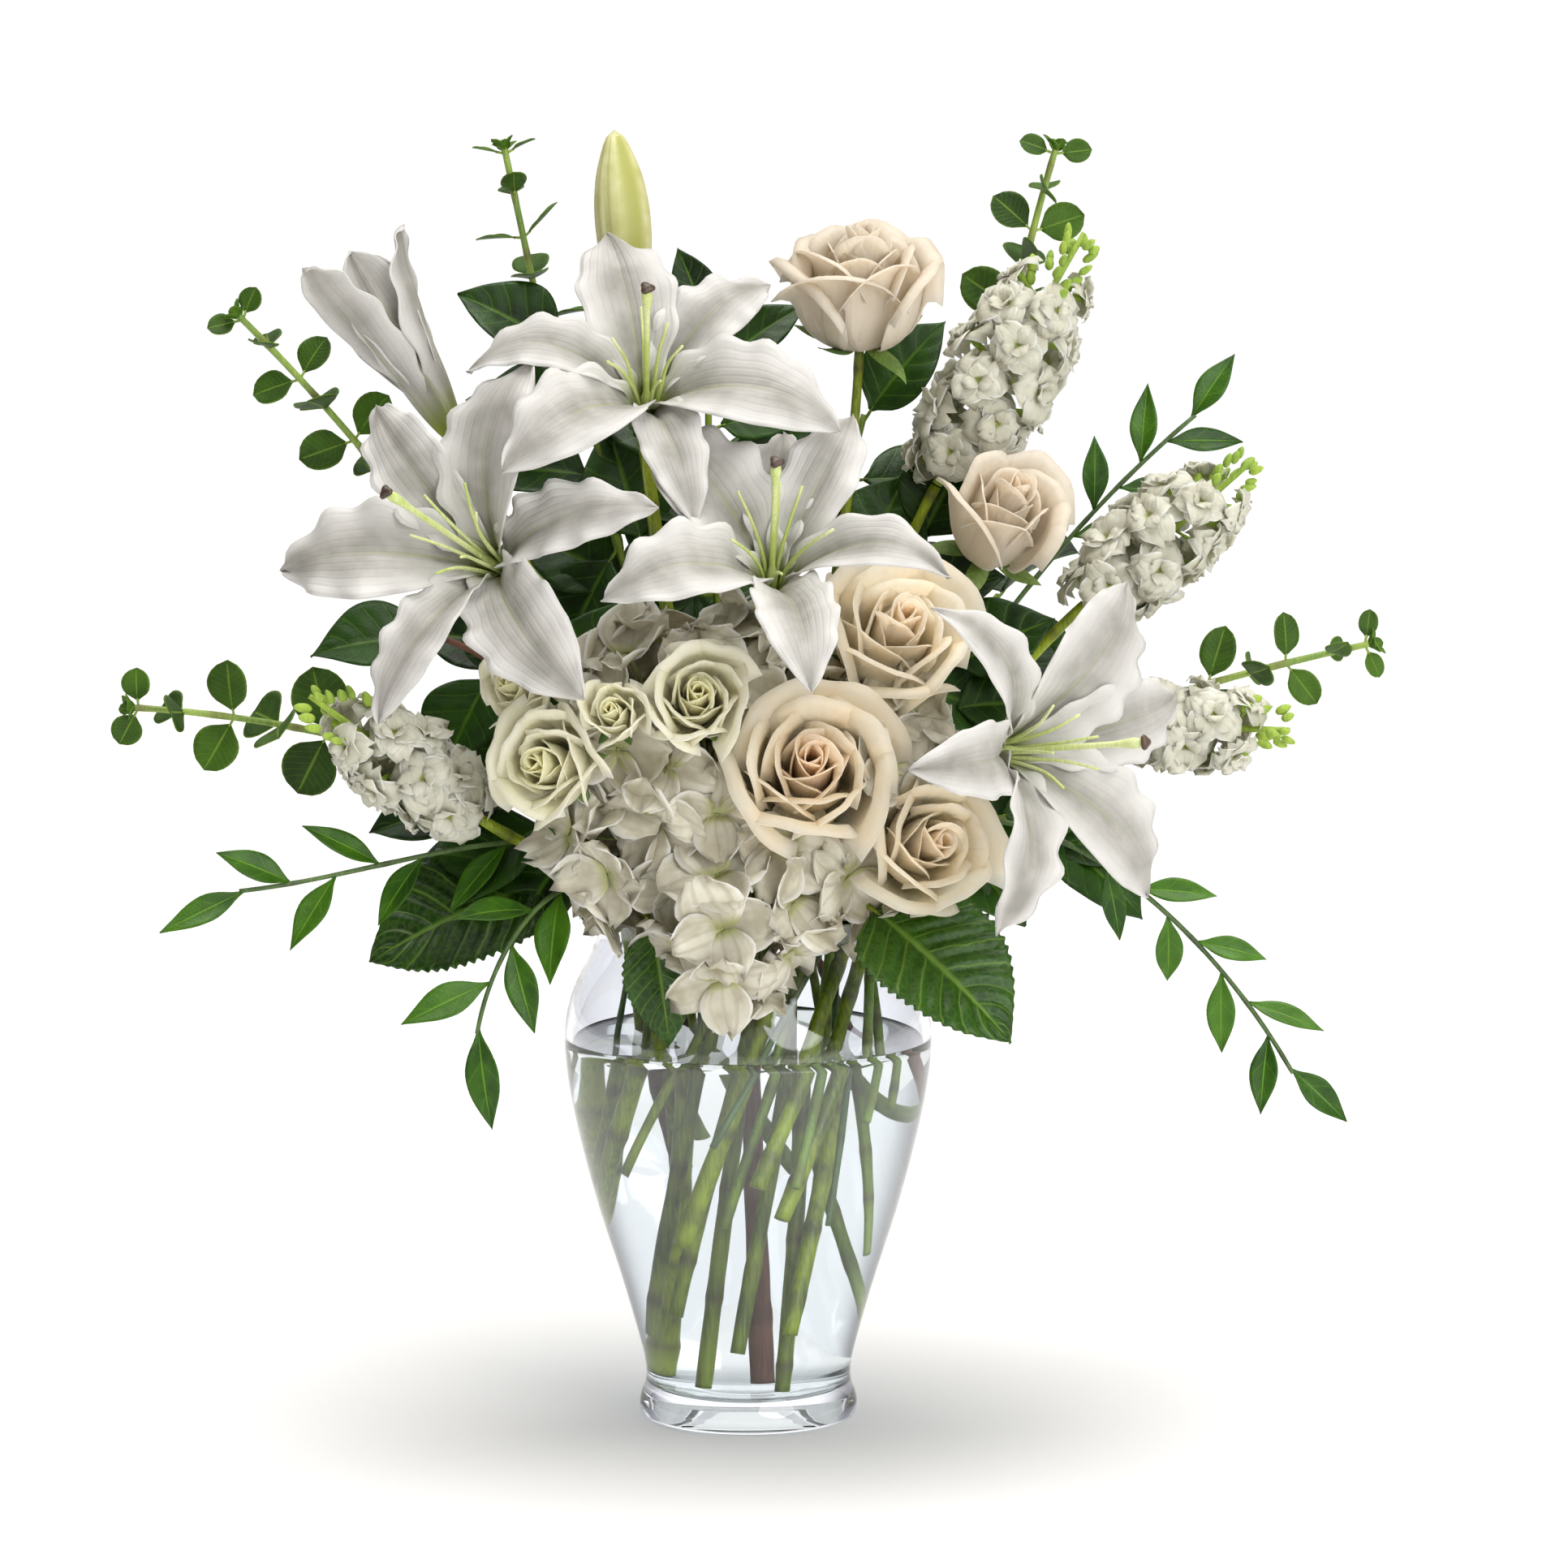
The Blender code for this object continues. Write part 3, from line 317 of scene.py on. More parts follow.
def hermite(start, leaving, end, arriving, steps):
    """Points of a smooth curve from start to end."""
    ts = [(i + 1) / steps for i in range(steps)]
    return [
        start * (2 * t**3 - 3 * t**2 + 1)
        + leaving * (t**3 - 2 * t**2 + t)
        + end * (3 * t**2 - 2 * t**3)
        + arriving * (t**3 - t**2)
        for t in ts
    ]


def stem_line(node, end, arriving, bow=0.0012):
    """A stem's course: straight from its cut end to the neck, where the CAD holds it, then curved up to its flower."""
    points = np.unique(np.round([v.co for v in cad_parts[node].data.vertices], 6), axis=0)
    foot = Vector(points[np.argsort(points[:, 2])[:6]].mean(axis=0))
    held = (abs(points[:, 2] - NECK_Z) < NECK_BAND) & (np.hypot(points[:, 0], points[:, 1]) < NECK_REACH)
    neck = Vector(points[held].mean(axis=0))
    below = Matrix.Rotation(BUNDLE_TURN, 2) @ Vector((neck.x, neck.y)) * BUNDLE_SCALE
    rise = (neck - Vector((below.x, below.y, VASE_FLOOR))).normalized()
    pull = (end - neck).length * (0.9 + 6 * max(0, 0.29 - end.z))
    lean = Vector((neck.y - foot.y, foot.x - neck.x, 0)).normalized() * 0.3
    straight = [foot.lerp(neck, i / 16) + lean * (bow * 4 * math.sin(math.pi * i / 16)) for i in range(17)]
    return straight + hermite(neck, rise * pull, end, arriving * pull, 26)


def along(line, back):
    """The point of a line that lies back metres before its end, and the direction there."""
    for a, b in zip(line[::-1], line[-2::-1]):
        step = (a - b).length
        if back <= step:
            return a + (b - a) * (back / step), (a - b).normalized()
        back -= step
    return line[0], (line[1] - line[0]).normalized()


def grown_stem(bm, line, radius, node_gap, seed, sides=STEM_SIDES):
    """A stem along a line that tapers by a third and swells at its nodes, node_gap apart."""
    luck = random.Random(seed)
    even = smooth_line(line, max(24, int(sum((b - a).length for a, b in zip(line, line[1:])) / RING_GAP)))
    length = RING_GAP * len(even)
    marks = np.arange(luck.uniform(0.2, 0.9) * node_gap, length, node_gap)
    marks = [m + luck.uniform(-0.15, 0.15) * node_gap for m in marks]
    radii = []
    for share in np.linspace(0, 1, len(even)):
        swell = sum(math.exp(-(((share * length - m) / NODE_LENGTH) ** 2)) for m in marks)
        radii.append(radius * (1 - 0.35 * share) * (1 + 0.14 * min(swell, 1) + 0.03 * math.sin(40 * share + seed)))
    stalk(bm, even, radii, sides, luck.random())
    growth = growth_of(bm)
    for vert in bm.verts:
        here = vert[growth].y * length
        node = max((math.exp(-(((here - m) / 0.003) ** 2)) for m in marks), default=0)
        vert[growth] = (vert[growth].x, vert[growth].y, node)


TIMES_PLUS = {"operation": "MULTIPLY_ADD"}


def live_finish(name):
    """An empty finish for a live part: what new_finish gives, its place, and its growth across, up and by chance."""
    material, add = new_finish(name)
    growth = add("Attribute", {"attribute_name": "growth"}).outputs["Vector"]
    return material, add, add("TexCoord").outputs["Object"], *add("SeparateXYZ", inputs={0: growth}).outputs


def stem_finish(name, bright, dull, node, roughness):
    """A live stem: it varies along its length, has fine lengthways streaks and darkens at each node."""
    material, add, place, _, _, near_node = live_finish(name)
    # Streaks are about 1 mm apart round the stem and 20 mm long.
    stretched = add("Mapping", inputs={0: place, 3: (1000.0, 1000.0, 50.0)})
    streaks = add("TexNoise", inputs={"Vector": stretched, "Scale": 1.0, "Detail": 3.0})
    patches = add("TexNoise", inputs={"Vector": place, "Scale": 34.0, "Detail": 2.0})
    both = add("Math", TIMES_PLUS, {0: streaks, 1: 0.6, 2: patches})
    spread = add("MapRange", inputs={0: both, 1: 0.62, 2: 0.98})
    green = add("Mix", COLOURS, {0: spread, 6: to_linear(bright), 7: to_linear(dull)})
    dark = add("Math", TIMES, {0: near_node, 1: 0.75})
    colour = add("Mix", COLOURS, {0: dark, 6: green, 7: to_linear(node)})
    gloss = add("MapRange", inputs={0: streaks, 1: 0.3, 2: 0.7, 3: roughness, 4: roughness + 0.15})
    ridges = add("Bump", inputs={"Height": streaks, "Strength": 0.35, "Distance": 0.0006})
    shader = add("BsdfPrincipled", inputs={"Base Color": colour, "Roughness": gloss, "Normal": ridges})
    add("OutputMaterial", inputs={0: shader})
    return material


# Lily and stock stems are juicy and light green. Rose stems are darker with reddish nodes. The
# hydrangea's is woody and reddish brown. All have a waxy half-gloss.
lily_stem_green = stem_finish("lily stem, waxy", "#A0B214", "#556608", "#3E3A16", 0.36)
rose_stem_green = stem_finish("rose stem, waxy", "#84961A", "#445206", "#443216", 0.40)
woody_brown = stem_finish("woody stem, barked", "#7C503E", "#54342A", "#3C2A24", 0.60)

# How far behind a lily's face its throat lies, how far behind a rose's, as a share of its width, its foot lies, and
# how far short of its flower a stem ends.
LILY_THROAT_DEPTH, ROSE_BACK, STEM_GAP = 0.010, 0.75, 0.00105
LILY_FACES = {
    "lily_left": ((-0.107, -0.077, 0.386), -29, 22),
    "lily_top": ((-0.043, -0.055, 0.454), 2, 40),
    "lily_centre": ((0.011, -0.095, 0.381), 4, 38),
    "lily_right": ((0.108, -0.100, 0.309), 43, 7),
}
ROSE_FACES = {
    "rose_top": ((0.051, -0.010, 0.525), 5, 68, 0.068),
    "rose_right": ((0.118, -0.045, 0.418), 22, 42, 0.062),
    "rose_centre": ((0.068, -0.086, 0.366), 12, 32, 0.066),
    "rose_front": ((0.028, -0.124, 0.309), 2, 22, 0.068),
    "rose_low": ((0.083, -0.110, 0.272), 20, 12, 0.055),
}
STOCK_SPIKES = {
    "stock_top": ((0.084, 0.018, 0.416), (0.148, 0.006, 0.527), 0.058),
    "stock_right": ((0.150, 0.006, 0.364), (0.222, -0.008, 0.428), 0.054),
    "stock_low_right": ((0.162, -0.014, 0.312), (0.236, -0.040, 0.312), 0.046),
    "stock_left": ((-0.118, -0.062, 0.278), (-0.186, -0.084, 0.331), 0.048),
}
# A bud's side branch leaves its stem this far back from the flower and is this thick. The spray's branches leave one
# above another, from the first one's distance up.
BUD_BRANCH, BUD_BRANCH_RADIUS = 0.070, 0.0026
SPRAY_BRANCH, SPRAY_BRANCH_STEP, SPRAY_BRANCH_RADIUS = 0.078, 0.022, 0.0014

# The buds on side branches: (foot, tip)
HALF_OPEN_BUD = (Vector((-0.127, -0.030, 0.440)), Vector((-0.170, -0.020, 0.509)))
CLOSED_BUD = (Vector((-0.051, 0.014, 0.479)), Vector((-0.059, 0.014, 0.573)))
SPRAY_FACES = {
    "spray_rose_1": ((-0.089, -0.118, 0.306), -22, 8, 0.044),
    "spray_rose_2": ((-0.057, -0.127, 0.330), -10, 18, 0.030),
    "spray_rose_3": ((-0.020, -0.128, 0.337), 2, 20, 0.042),
    "spray_rose_4": ((-0.102, -0.092, 0.338), -25, 22, 0.032),
}


def flower_base(face, back):
    """Where a flower sits, back metres behind its face, and its axis."""
    centre, azimuth, elevation = face[:3]
    axis = facing(azimuth, elevation)
    return Vector(centre) - axis * back, axis


def branch_off(bm, line, back, base, axis, radius, chance):
    """A thinner branch from a stem round to a flower of its own."""
    start, onward = along(line, back)
    end = base - axis * STEM_GAP
    reach = (end - start).length
    leaving = (onward + (end - start).normalized() * 0.5).normalized()
    curve = [start, *hermite(start, leaving * reach, end, axis * reach, 16)]
    flare = [1.35 - 0.35 * min(1, i / 5) for i in range(len(curve))]
    stalk(bm, curve, [radius * share for share in flare], BRANCH_SIDES, chance)


stems = [
    (name + "_stem", *flower_base(face, LILY_THROAT_DEPTH), 0.0041, 0.042, lily_stem_green)
    for name, face in LILY_FACES.items()
]
for name, face in {**ROSE_FACES, "spray_rose": SPRAY_FACES["spray_rose_1"]}.items():
    sizes = (0.0033, 0.055) if name in ROSE_FACES else (0.0024, 0.048)
    stems.append((name + "_stem", *flower_base(face, ROSE_BACK * face[3]), *sizes, rose_stem_green))
stems.append(("hydrangea_stem", Vector((0.002, 0, 0.2330)), Vector((-0.21, -0.64, 0.74)), 0.0042, 0.060, woody_brown))
for name, (base, tip, _) in STOCK_SPIKES.items():
    axis = (Vector(tip) - Vector(base)).normalized()
    stems.append((name + "_stem", Vector(base), axis, 0.0036, 0.030, lily_stem_green))

for seed, (node, base, axis, radius, node_gap, finish) in enumerate(stems):
    bm = bmesh.new()
    line = stem_line(node, base - axis * STEM_GAP, axis)
    grown_stem(bm, line, radius, node_gap, seed)
    for bearer, (foot, tip), chance in (("lily_left_stem", HALF_OPEN_BUD, 0.3), ("lily_top_stem", CLOSED_BUD, 0.4)):
        if node == bearer:
            branch_off(bm, line, BUD_BRANCH, foot, (tip - foot).normalized(), BUD_BRANCH_RADIUS, chance)
    if node == "spray_rose_stem":
        for k, face in enumerate(list(SPRAY_FACES.values())[1:]):
            back = SPRAY_BRANCH - SPRAY_BRANCH_STEP * k
            branch_off(bm, line, back, *flower_base(face, ROSE_BACK * face[3]), SPRAY_BRANCH_RADIUS, 0.2 * k)
    finished(node.replace("_stem", "_stalk"), bm, finish, node)

# -------------------------------- the open lilies
# Four oriental lilies, pure white: six tepals each, three wide and ruffled and three narrow, which leave
# a green throat as channels and turn back at their tips. The anthers have been picked off, as florists do.

TEPAL_THICK, MM = 0.0006, 0.001
# The three narrow tepals, up to this many millimetres wide, are the outer ones, and are rooted this much lower.
OUTER_WIDTH, OUTER_DROP = 35, 0.0015
# For each lily: its tepals as (clock, reach, rise of the tip, width, ruffle, arch, swing of the tip in degrees), in
# millimetres, and how its pistil leans as (clock, degrees).
TEPALS = {
    "lily_left": (
        ((6, 84, 29, 43, 1.5, 26, 6), (71, 88, 17, 32, 2.6, 24, 4), (137, 89, 13, 42, 2.8, 20, -4),
         (188, 83, 24, 30, 1.5, 32, 10), (261, 86, 33, 44, 2.6, 22, -2), (317, 83, 30, 34, 2.2, 26, 0)),
        (300, 12),
    ),
    "lily_top": (
        ((348, 80, 19, 42, 1.6, 22, 0), (41, 76, 14, 33, 2.0, 26, 4), (106, 88, 24, 44, 1.6, 24, 6),
         (165, 78, 14, 28, 1.5, 22, 0), (223, 83, 26, 42, 1.8, 28, 4), (284, 76, 22, 28, 1.4, 34, -14)),
        (0, 4),
    ),
    "lily_centre": (
        ((2, 72, 6, 32, 2.2, 24, 4), (33, 80, 20, 32, 1.5, 24, -6), (99, 74, 26, 26, 1.2, 40, 4),
         (170, 79, 34, 34, 1.6, 22, 2), (246, 79, 29, 38, 2.4, 32, 2), (320, 80, 20, 46, 3.2, 22, 3)),
        (352, 8),
    ),
    "lily_right": (
        ((36, 85, 31, 46, 1.8, 22, 2), (80, 82, 28, 36, 1.4, 24, -2), (139, 84, 29, 42, 1.6, 26, 4),
         (213, 84, 26, 34, 2.6, 34, -6), (266, 82, 27, 32, 1.2, 26, 2), (327, 85, 24, 26, 1.2, 34, -10)),
        (92, 10),
    ),
}


def flower_frame(base, axis):
    """A flower's own frame: +Z along its axis, +Y its upper side and +X its right as one looks into it."""
    upper = (Vector((0, 0, 1)) - axis * axis.z).normalized()
    return Matrix.Translation(base) @ Matrix((upper.cross(axis), upper, axis)).transposed().to_4x4()


def on_clock(clock, radius=1.0, z=0.0):
    """A point of a flower at a clock angle in degrees, where 0 is its upper side and 90 its right."""
    c = math.radians(clock)
    return Vector((radius * math.sin(c), radius * math.cos(c), z))


def bezier(a, b, c, d, t):
    """A cubic curve's point and its slope at t."""
    u = 1 - t
    point = a * u**3 + b * (3 * u * u * t) + c * (3 * u * t * t) + d * t**3
    slope = (b - a) * (u * u) + (c - b) * (2 * u * t) + (d - c) * (t * t)
    return point, slope


def outline_of(*pairs):
    """A smooth outline through (share of length, share of width) pairs, as a function of the share of length."""
    fine = smooth_line(pairs, 80)
    return lambda t: max(0.0, float(np.interp(t, fine[:, 0], fine[:, 1])))


tepal_outline = outline_of(
    (0, 0.20), (0.10, 0.24), (0.22, 0.46), (0.38, 0.82), (0.52, 0.99), (0.66, 0.97), (0.79, 0.78), (0.90, 0.46),
    (0.96, 0.22), (1, 0.0),
)


def tepal(bm, clock, tip, width, ruffle, arch, swing, chance, root, lift):
    """A lily's tepal at a clock angle. Its root, the height its throat lifts to and its tip are (out, up)."""
    a, b, c, d = (Vector(p) for p in (root, lift, (0.62 * tip[0], tip[1] + arch), tip))
    beats, phase = 4.5 + 2 * chance, 6.28 * chance

    def shape(s, t):
        (r, z), slope = bezier(a, b, c, d, t)
        slope.normalize()
        radial = on_clock(clock + swing * t * t)
        side = Vector((radial.y, -radial.x, 0))
        inner = Vector((0, 0, slope.x)) - radial * slope.y
        half = width / 2 * tepal_outline(t)
        s = math.copysign(abs(s) ** 1.25, s)
        wave = math.sin(2 * math.pi * beats * t + phase + (1.7 if s > 0 else 0))
        edge = abs(s) ** 2.4 * min(1.0, 6 * t * (1 - t) ** 0.6)
        cup = half * (1.0 * (1 - t) ** 3 + 0.24 - 0.50 * t**2) * s * s
        rib = -0.0019 * math.exp(-((s / 0.15) ** 2)) * (1 - t**3)
        loose = 0.0016 * noise.noise(Vector((1.6 * s, 4 * t, 31 * chance)))
        point = Vector((0, 0, z)) + radial * r
        point += side * (s * half * (1 + 0.05 * wave * edge))
        return point + inner * (cup + rib + ruffle * wave * edge + loose * (0.3 + t))

    grow_sheet(bm, 18, 40, shape, chance)


LARGER = {"operation": "MAXIMUM"}


def thin_sheet(add, colour, gloss, relief, glow, shine, **coat):
    """Ends a finish as a thin sheet that lets a share of its light, its glow, through."""
    surface = {"Base Color": colour, "Roughness": gloss, "Specular IOR Level": shine, "Normal": relief}
    shader = add("BsdfPrincipled", inputs={**surface, **coat})
    through = add("BsdfTranslucent", inputs={"Color": colour, "Normal": relief})
    add("OutputMaterial", inputs={0: add("MixShader", inputs={0: glow, 1: shader, 2: through})})


def petal_finish(
    name, body, shade, foot, foot_reach, rim, veins, vein_depth, glow, heart=None, ribbed=0.0, rim_and_painted_light_from=0.80
):
    """A live petal. Its colour goes from foot to body, with patches of shade, a paler rim and lengthways veins. A rim
    that starts far in, as on lilies, is a painted highlight on the petal's sides.

    A heart colour takes over in petals near the middle of a bloom. A ribbed petal has a green line up its middle.
    """
    material, add, place, across, up, chance = live_finish(name)
    aside = add("Math", SIZE_OF, {0: across})
    # Soft patches some 15 mm wide.
    patches = add("TexNoise", inputs={"Vector": place, "Scale": 66.0, "Detail": 3.0})
    patched = add("MapRange", inputs={0: patches, 1: 0.38, 2: 0.66})
    colour = add("Mix", COLOURS, {0: patched, 6: to_linear(body), 7: to_linear(shade)})
    if heart:
        nearness = add("MapRange", SOFTLY, {0: chance, 2: 0.75, 3: 0.9, 4: 0.0})
        colour = add("Mix", COLOURS, {0: nearness, 6: colour, 7: to_linear(heart)})
    # Veins are drawn about 2 mm apart, coarser than real ones, so that they show.
    wander = add("MapRange", inputs={0: patches, 3: -1.5, 4: 1.5})
    fan = add("Math", TIMES_PLUS, {0: across, 1: veins * math.pi, 2: wander})
    lines = add("MapRange", inputs={0: add("Math", {"operation": "SINE"}, {0: fan}), 1: 0.2})
    faint = add("Math", TIMES, {0: lines, 1: vein_depth})
    colour = add("Mix", COLOURS, {0: faint, 6: colour, 7: to_linear(shade)})
    # The paler rim. On lilies it starts a quarter of the way out and is a painted highlight on their sides.
    edge = add("MapRange", SOFTLY, {0: aside, 1: rim_and_painted_light_from, 4: 0.8})
    colour = add("Mix", COLOURS, {0: edge, 6: colour, 7: to_linear(rim)})
    low = add("MapRange", SOFTLY, {0: up, 1: 0.02, 2: foot_reach, 3: 1.0, 4: 0.0})
    if ribbed:
        thin = add("MapRange", SOFTLY, {0: aside, 2: 0.13, 3: ribbed, 4: 0.0})
        fades = add("MapRange", inputs={0: up, 1: 0.10, 2: 0.80, 3: 1.0, 4: 0.0})
        low = add("Math", LARGER, {0: low, 1: add("Math", TIMES, {0: thin, 1: fades})})
    colour = add("Mix", COLOURS, {0: low, 6: colour, 7: to_linear(foot)})
    fine = add("TexNoise", inputs={"Vector": place, "Scale": 900.0, "Detail": 2.0})
    height = add("Math", TIMES_PLUS, {0: fine, 1: 0.5, 2: lines})
    crepe = add("Bump", {"invert": True}, {"Height": height, "Strength": 0.30, "Distance": 0.0005})
    gloss = add("MapRange", inputs={0: patches, 1: 0.3, 2: 0.7, 3: 0.42, 4: 0.58})
    thin_sheet(add, colour, gloss, crepe, glow, 0.35)
    return material


# Lily tepals are thick and waxy. They are white, but painted a warm grey as painted shade, with random patches of a
# darker grey, fine lengthways veins and a green-yellow rib and throat. From a quarter of the way out their sides are
# painted near-white, a painted highlight that leaves the middle groove darker as painted shade.
lily_white_painted_shading = petal_finish(
    "lily tepal, waxy, painted shading", "#C3C0BA", "#A6A39B", "#A2AF48", 0.26, "#EDEBE8",
    veins=12.0, vein_depth=0.15, glow=0.24, ribbed=0.60, rim_and_painted_light_from=0.25,
)
# Filaments and style are smooth and pale yellow-green, and the stigma is a sticky dark brown.
filament_green = stem_finish("lily filament, smooth", "#DCE3A8", "#B4C46A", "#A9B860", 0.40)
stigma_brown = stem_finish("lily stigma, sticky", "#5B4636", "#3B2C22", "#2C211A", 0.30)

for number, (name, (tepals, (lean_clock, lean))) in enumerate(TEPALS.items()):
    base, axis = flower_base(LILY_FACES[name], LILY_THROAT_DEPTH)
    place = flower_frame(base, axis)
    luck = random.Random(20 + number)
    bm = bmesh.new()
    for clock, reach, rise, width, ruffle, arch, swing in tepals:
        tip, sizes = (MM * reach, MM * (rise + 10)), [MM * size for size in (width, ruffle, arch)]
        drop = OUTER_DROP if width <= OUTER_WIDTH else 0.0
        tepal(bm, clock, tip, *sizes, swing, luck.random(), (0.004, 0.0035 - drop), (0.009, 0.031 - drop))
    finished(name + "_tepals", bm, lily_white_painted_shading, name, TEPAL_THICK, place)

    # Six filaments curve out between the tepals, and the style rises from the ovary in the middle.
    bm = bmesh.new()
    for k in range(6):
        clock = tepals[k][0] + luck.uniform(-8, 8)
        out = luck.uniform(0.015, 0.024)
        length = luck.uniform(0.046, 0.058)
        ends = [on_clock(clock, 0.003, 0.004), on_clock(clock, 0.006, 0.022), on_clock(clock, out * 0.6, length * 0.75)]
        curve = smooth_line([*ends, on_clock(clock, out, length)], 12)
        stalk(bm, curve, [0.0011 - 0.0005 * i / 11 for i in range(12)], 6)
    tilt = Matrix.Rotation(math.radians(lean), 4, Vector((0, 0, 1)).cross(on_clock(lean_clock)).normalized())
    knots = (0.002, 0.012, 0.022, 0.045, 0.066, 0.080)
    style = [(tilt if z > 0.02 else Matrix()) @ Vector((0, 0, z)) for z in knots]
    stalk(bm, smooth_line(style, 20), [0.0024] * 4 + [0.0013] * 12 + [0.0015, 0.0019, 0.0024, 0.0018], 8)
    finished(name + "_filaments", bm, filament_green, name, place=place)

    # The stigma is a three-lobed cushion, 6 mm across.
    bm = bmesh.new()
    bmesh.ops.create_uvsphere(bm, u_segments=18, v_segments=9, radius=0.0030)
    for vert in bm.verts:
        lobes = 1 + 0.22 * math.cos(3 * math.atan2(vert.co.y, vert.co.x))
        vert.co.x, vert.co.y, vert.co.z = vert.co.x * lobes, vert.co.y * lobes, vert.co.z * 0.55
    on_style = place @ tilt @ Matrix.Translation((0, 0, 0.0815))
    finished(name + "_stigma", bm, stigma_brown, name, place=on_style)

# -------------------------------- the lily buds
# A half-open lily whose three outer tepals have begun to turn back, and a tight green-white bud,
# three-sided, with a seam along each side. Both stand on side branches of the lily stems.

# A bud's skin is thicker than an open tepal: yellow-green, with broad darker ribs that fade to its tip.
bud_skin = petal_finish(
    "lily bud, waxy", "#DEDCA6", "#C0C074", "#98A23E", 0.34, "#ACAE52",
    veins=3.0, vein_depth=0.55, glow=0.12, ribbed=0.9,
)

base, tip = HALF_OPEN_BUD
bm = bmesh.new()
# Each tepal: (clock, end as distance from the axis and height, width, ruffle, arch)
for clock, end, width, ruffle, arch in (
    (0, (0.030, 0.088), 0.031, 0.0012, 0.002), (120, (0.026, 0.092), 0.031, 0.0012, 0.000),
    (240, (0.033, 0.086), 0.031, 0.0012, 0.003), (60, (0.012, 0.090), 0.030, 0.0006, -0.012),
    (180, (0.010, 0.086), 0.030, 0.0006, -0.012), (300, (0.012, 0.088), 0.030, 0.0006, -0.012),
):
    tepal(bm, clock, end, width, ruffle, arch, 0.0, clock / 360, (0.003, 0.001), (0.0125, 0.028))
place = flower_frame(base, (tip - base).normalized())
finished("lily_half_open_tepals", bm, lily_white_painted_shading, "lily_half_open", TEPAL_THICK, place)

base, tip = CLOSED_BUD
bud_outline = outline_of(
    (0, 0.0), (0.015, 0.0032), (0.08, 0.0052), (0.25, 0.0092), (0.45, 0.0120), (0.62, 0.0124), (0.78, 0.0104),
    (0.91, 0.0064), (0.975, 0.0034), (1, 0.0),
)


def bud_shape(s, t):
    turn = math.pi * s
    seam = math.exp(-((math.sin(1.5 * turn) / 0.16) ** 2)) * math.sin(math.pi * t)
    round_it = 1 + 0.05 * math.cos(3 * turn) - 0.07 * seam
    return on_clock(math.degrees(turn), bud_outline(t) * round_it, 0.0935 * t)


bm = bmesh.new()
grow_sheet(bm, 54, 30, bud_shape, 0.4)
growth = growth_of(bm)
for vert in bm.verts:
    # The rib runs up the middle of each of the three sides.
    vert[growth].x = math.sin(1.5 * math.atan2(vert.co.x, vert.co.y))
place = flower_frame(base, (tip - base).normalized())
finished("lily_bud_closed", bm, bud_skin, "lily_bud", place=place)

# -------------------------------- the roses
# Five cream roses with peach hearts. Some thirty petals wrap each other from a tight spiral to a loose
# cup, and the outer ones roll back at their rims. Five green sepals hang under each bloom.

ROSE_THICK = 0.0005
# Petals and florets grow one after another this many degrees round.
SPIRAL = 137.5
# For each rose: how many petals, how far the outer ones have opened from 0 to 1, how far they roll back, and how
# peach its heart is.
ROSE_AGES = {
    "rose_top": (27, 0.82, 1.25, 0.4), "rose_right": (20, 0.66, 0.75, 0.6), "rose_centre": (27, 0.88, 0.85, 0.7),
    "rose_front": (29, 0.87, 0.9, 1.0), "rose_low": (24, 0.92, 0.8, 0.7),
}


def mix(a, b, share):
    return a + (b - a) * share


def rose_petal(bm, width, clock, layer, opened, roll, luck, blush, ruffled):
    """One rose petal. layer runs from 0 in the heart to 1 outside."""
    r, rolls_from = width / 2, 0.80
    out = layer**1.5 * opened
    rim_r = r * mix(0.07, 0.99, out)
    rim_z = width * (0.80 - 0.13 * layer**2)
    foot = Vector((0.10 * r * (1 + layer), 0.015 * width))
    low = Vector((r * mix(0.20, 1.02, out), width * mix(0.06, 0.02, layer)))
    high = Vector((rim_r * mix(1.35, 1.12, layer), rim_z * 0.70))
    rim_point = Vector((rim_r, rim_z))
    wrap = mix(1.75, 0.90, min(1.0, layer * 1.6)) * luck.uniform(0.88, 1.12)
    curl = roll * mix(0.15, 2.0, layer**1.3) * luck.uniform(0.75, 1.2)
    curl_r = width * mix(0.015, 0.055, layer)
    point_up = 0.03 * width * layer * luck.uniform(0.3, 1.2)
    phase, twist = luck.uniform(0, 6.28), luck.uniform(-0.06, 0.06)

    def shape(s, t):
        reach = 1 - (0.12 + 0.20 * layer) * abs(s) ** 3
        flat, slope = bezier(foot, low, high, rim_point, min(t, rolls_from) * reach)
        slope.normalize()
        outward = Vector((slope.y, -slope.x))
        if t > rolls_from:
            a = curl * (t - rolls_from) / (1 - rolls_from)
            bend = rim_z * 0.26 * reach / max(curl, 0.05)
            bend = min(bend, curl_r / 0.35) if layer > 0.3 else bend
            flat = flat + slope * (bend * math.sin(a)) + outward * (bend * (1 - math.cos(a)))
        spiral = 1 + (0.09 + 0.05 * (1 - layer)) * s + twist * s
        tip_up = point_up * math.exp(-((s / 0.22) ** 2)) * t**4
        edge = t**3 * layer
        flutter = 0.022 * width * edge * math.sin(3.3 * s + phase) + 0.008 * width * edge * math.sin(9 * s + 2 * phase)
        ripple = 0.010 * width * noise.noise(Vector((2.2 * s, 2.4 * t, phase * 5)))
        turn = clock + math.degrees(wrap) * s * (0.50 + 0.50 * math.sin(min(1.0, 1.6 * t) * math.pi / 2))
        # A petal is less curved than the circle it stands on, so that its sides stand off a little.
        straighter = 1 + 0.30 * (1 / math.cos(min(1.0, abs(wrap * s))) - 1) * t
        radius = max(0.0, flat.x * spiral * straighter + ruffled * (flutter + ripple) * mix(0.25, 1, layer))
        return on_clock(turn, radius, flat.y + tip_up + 0.6 * flutter)

    grow_sheet(bm, 14, 14, shape, mix(1 - blush, 1, layer))


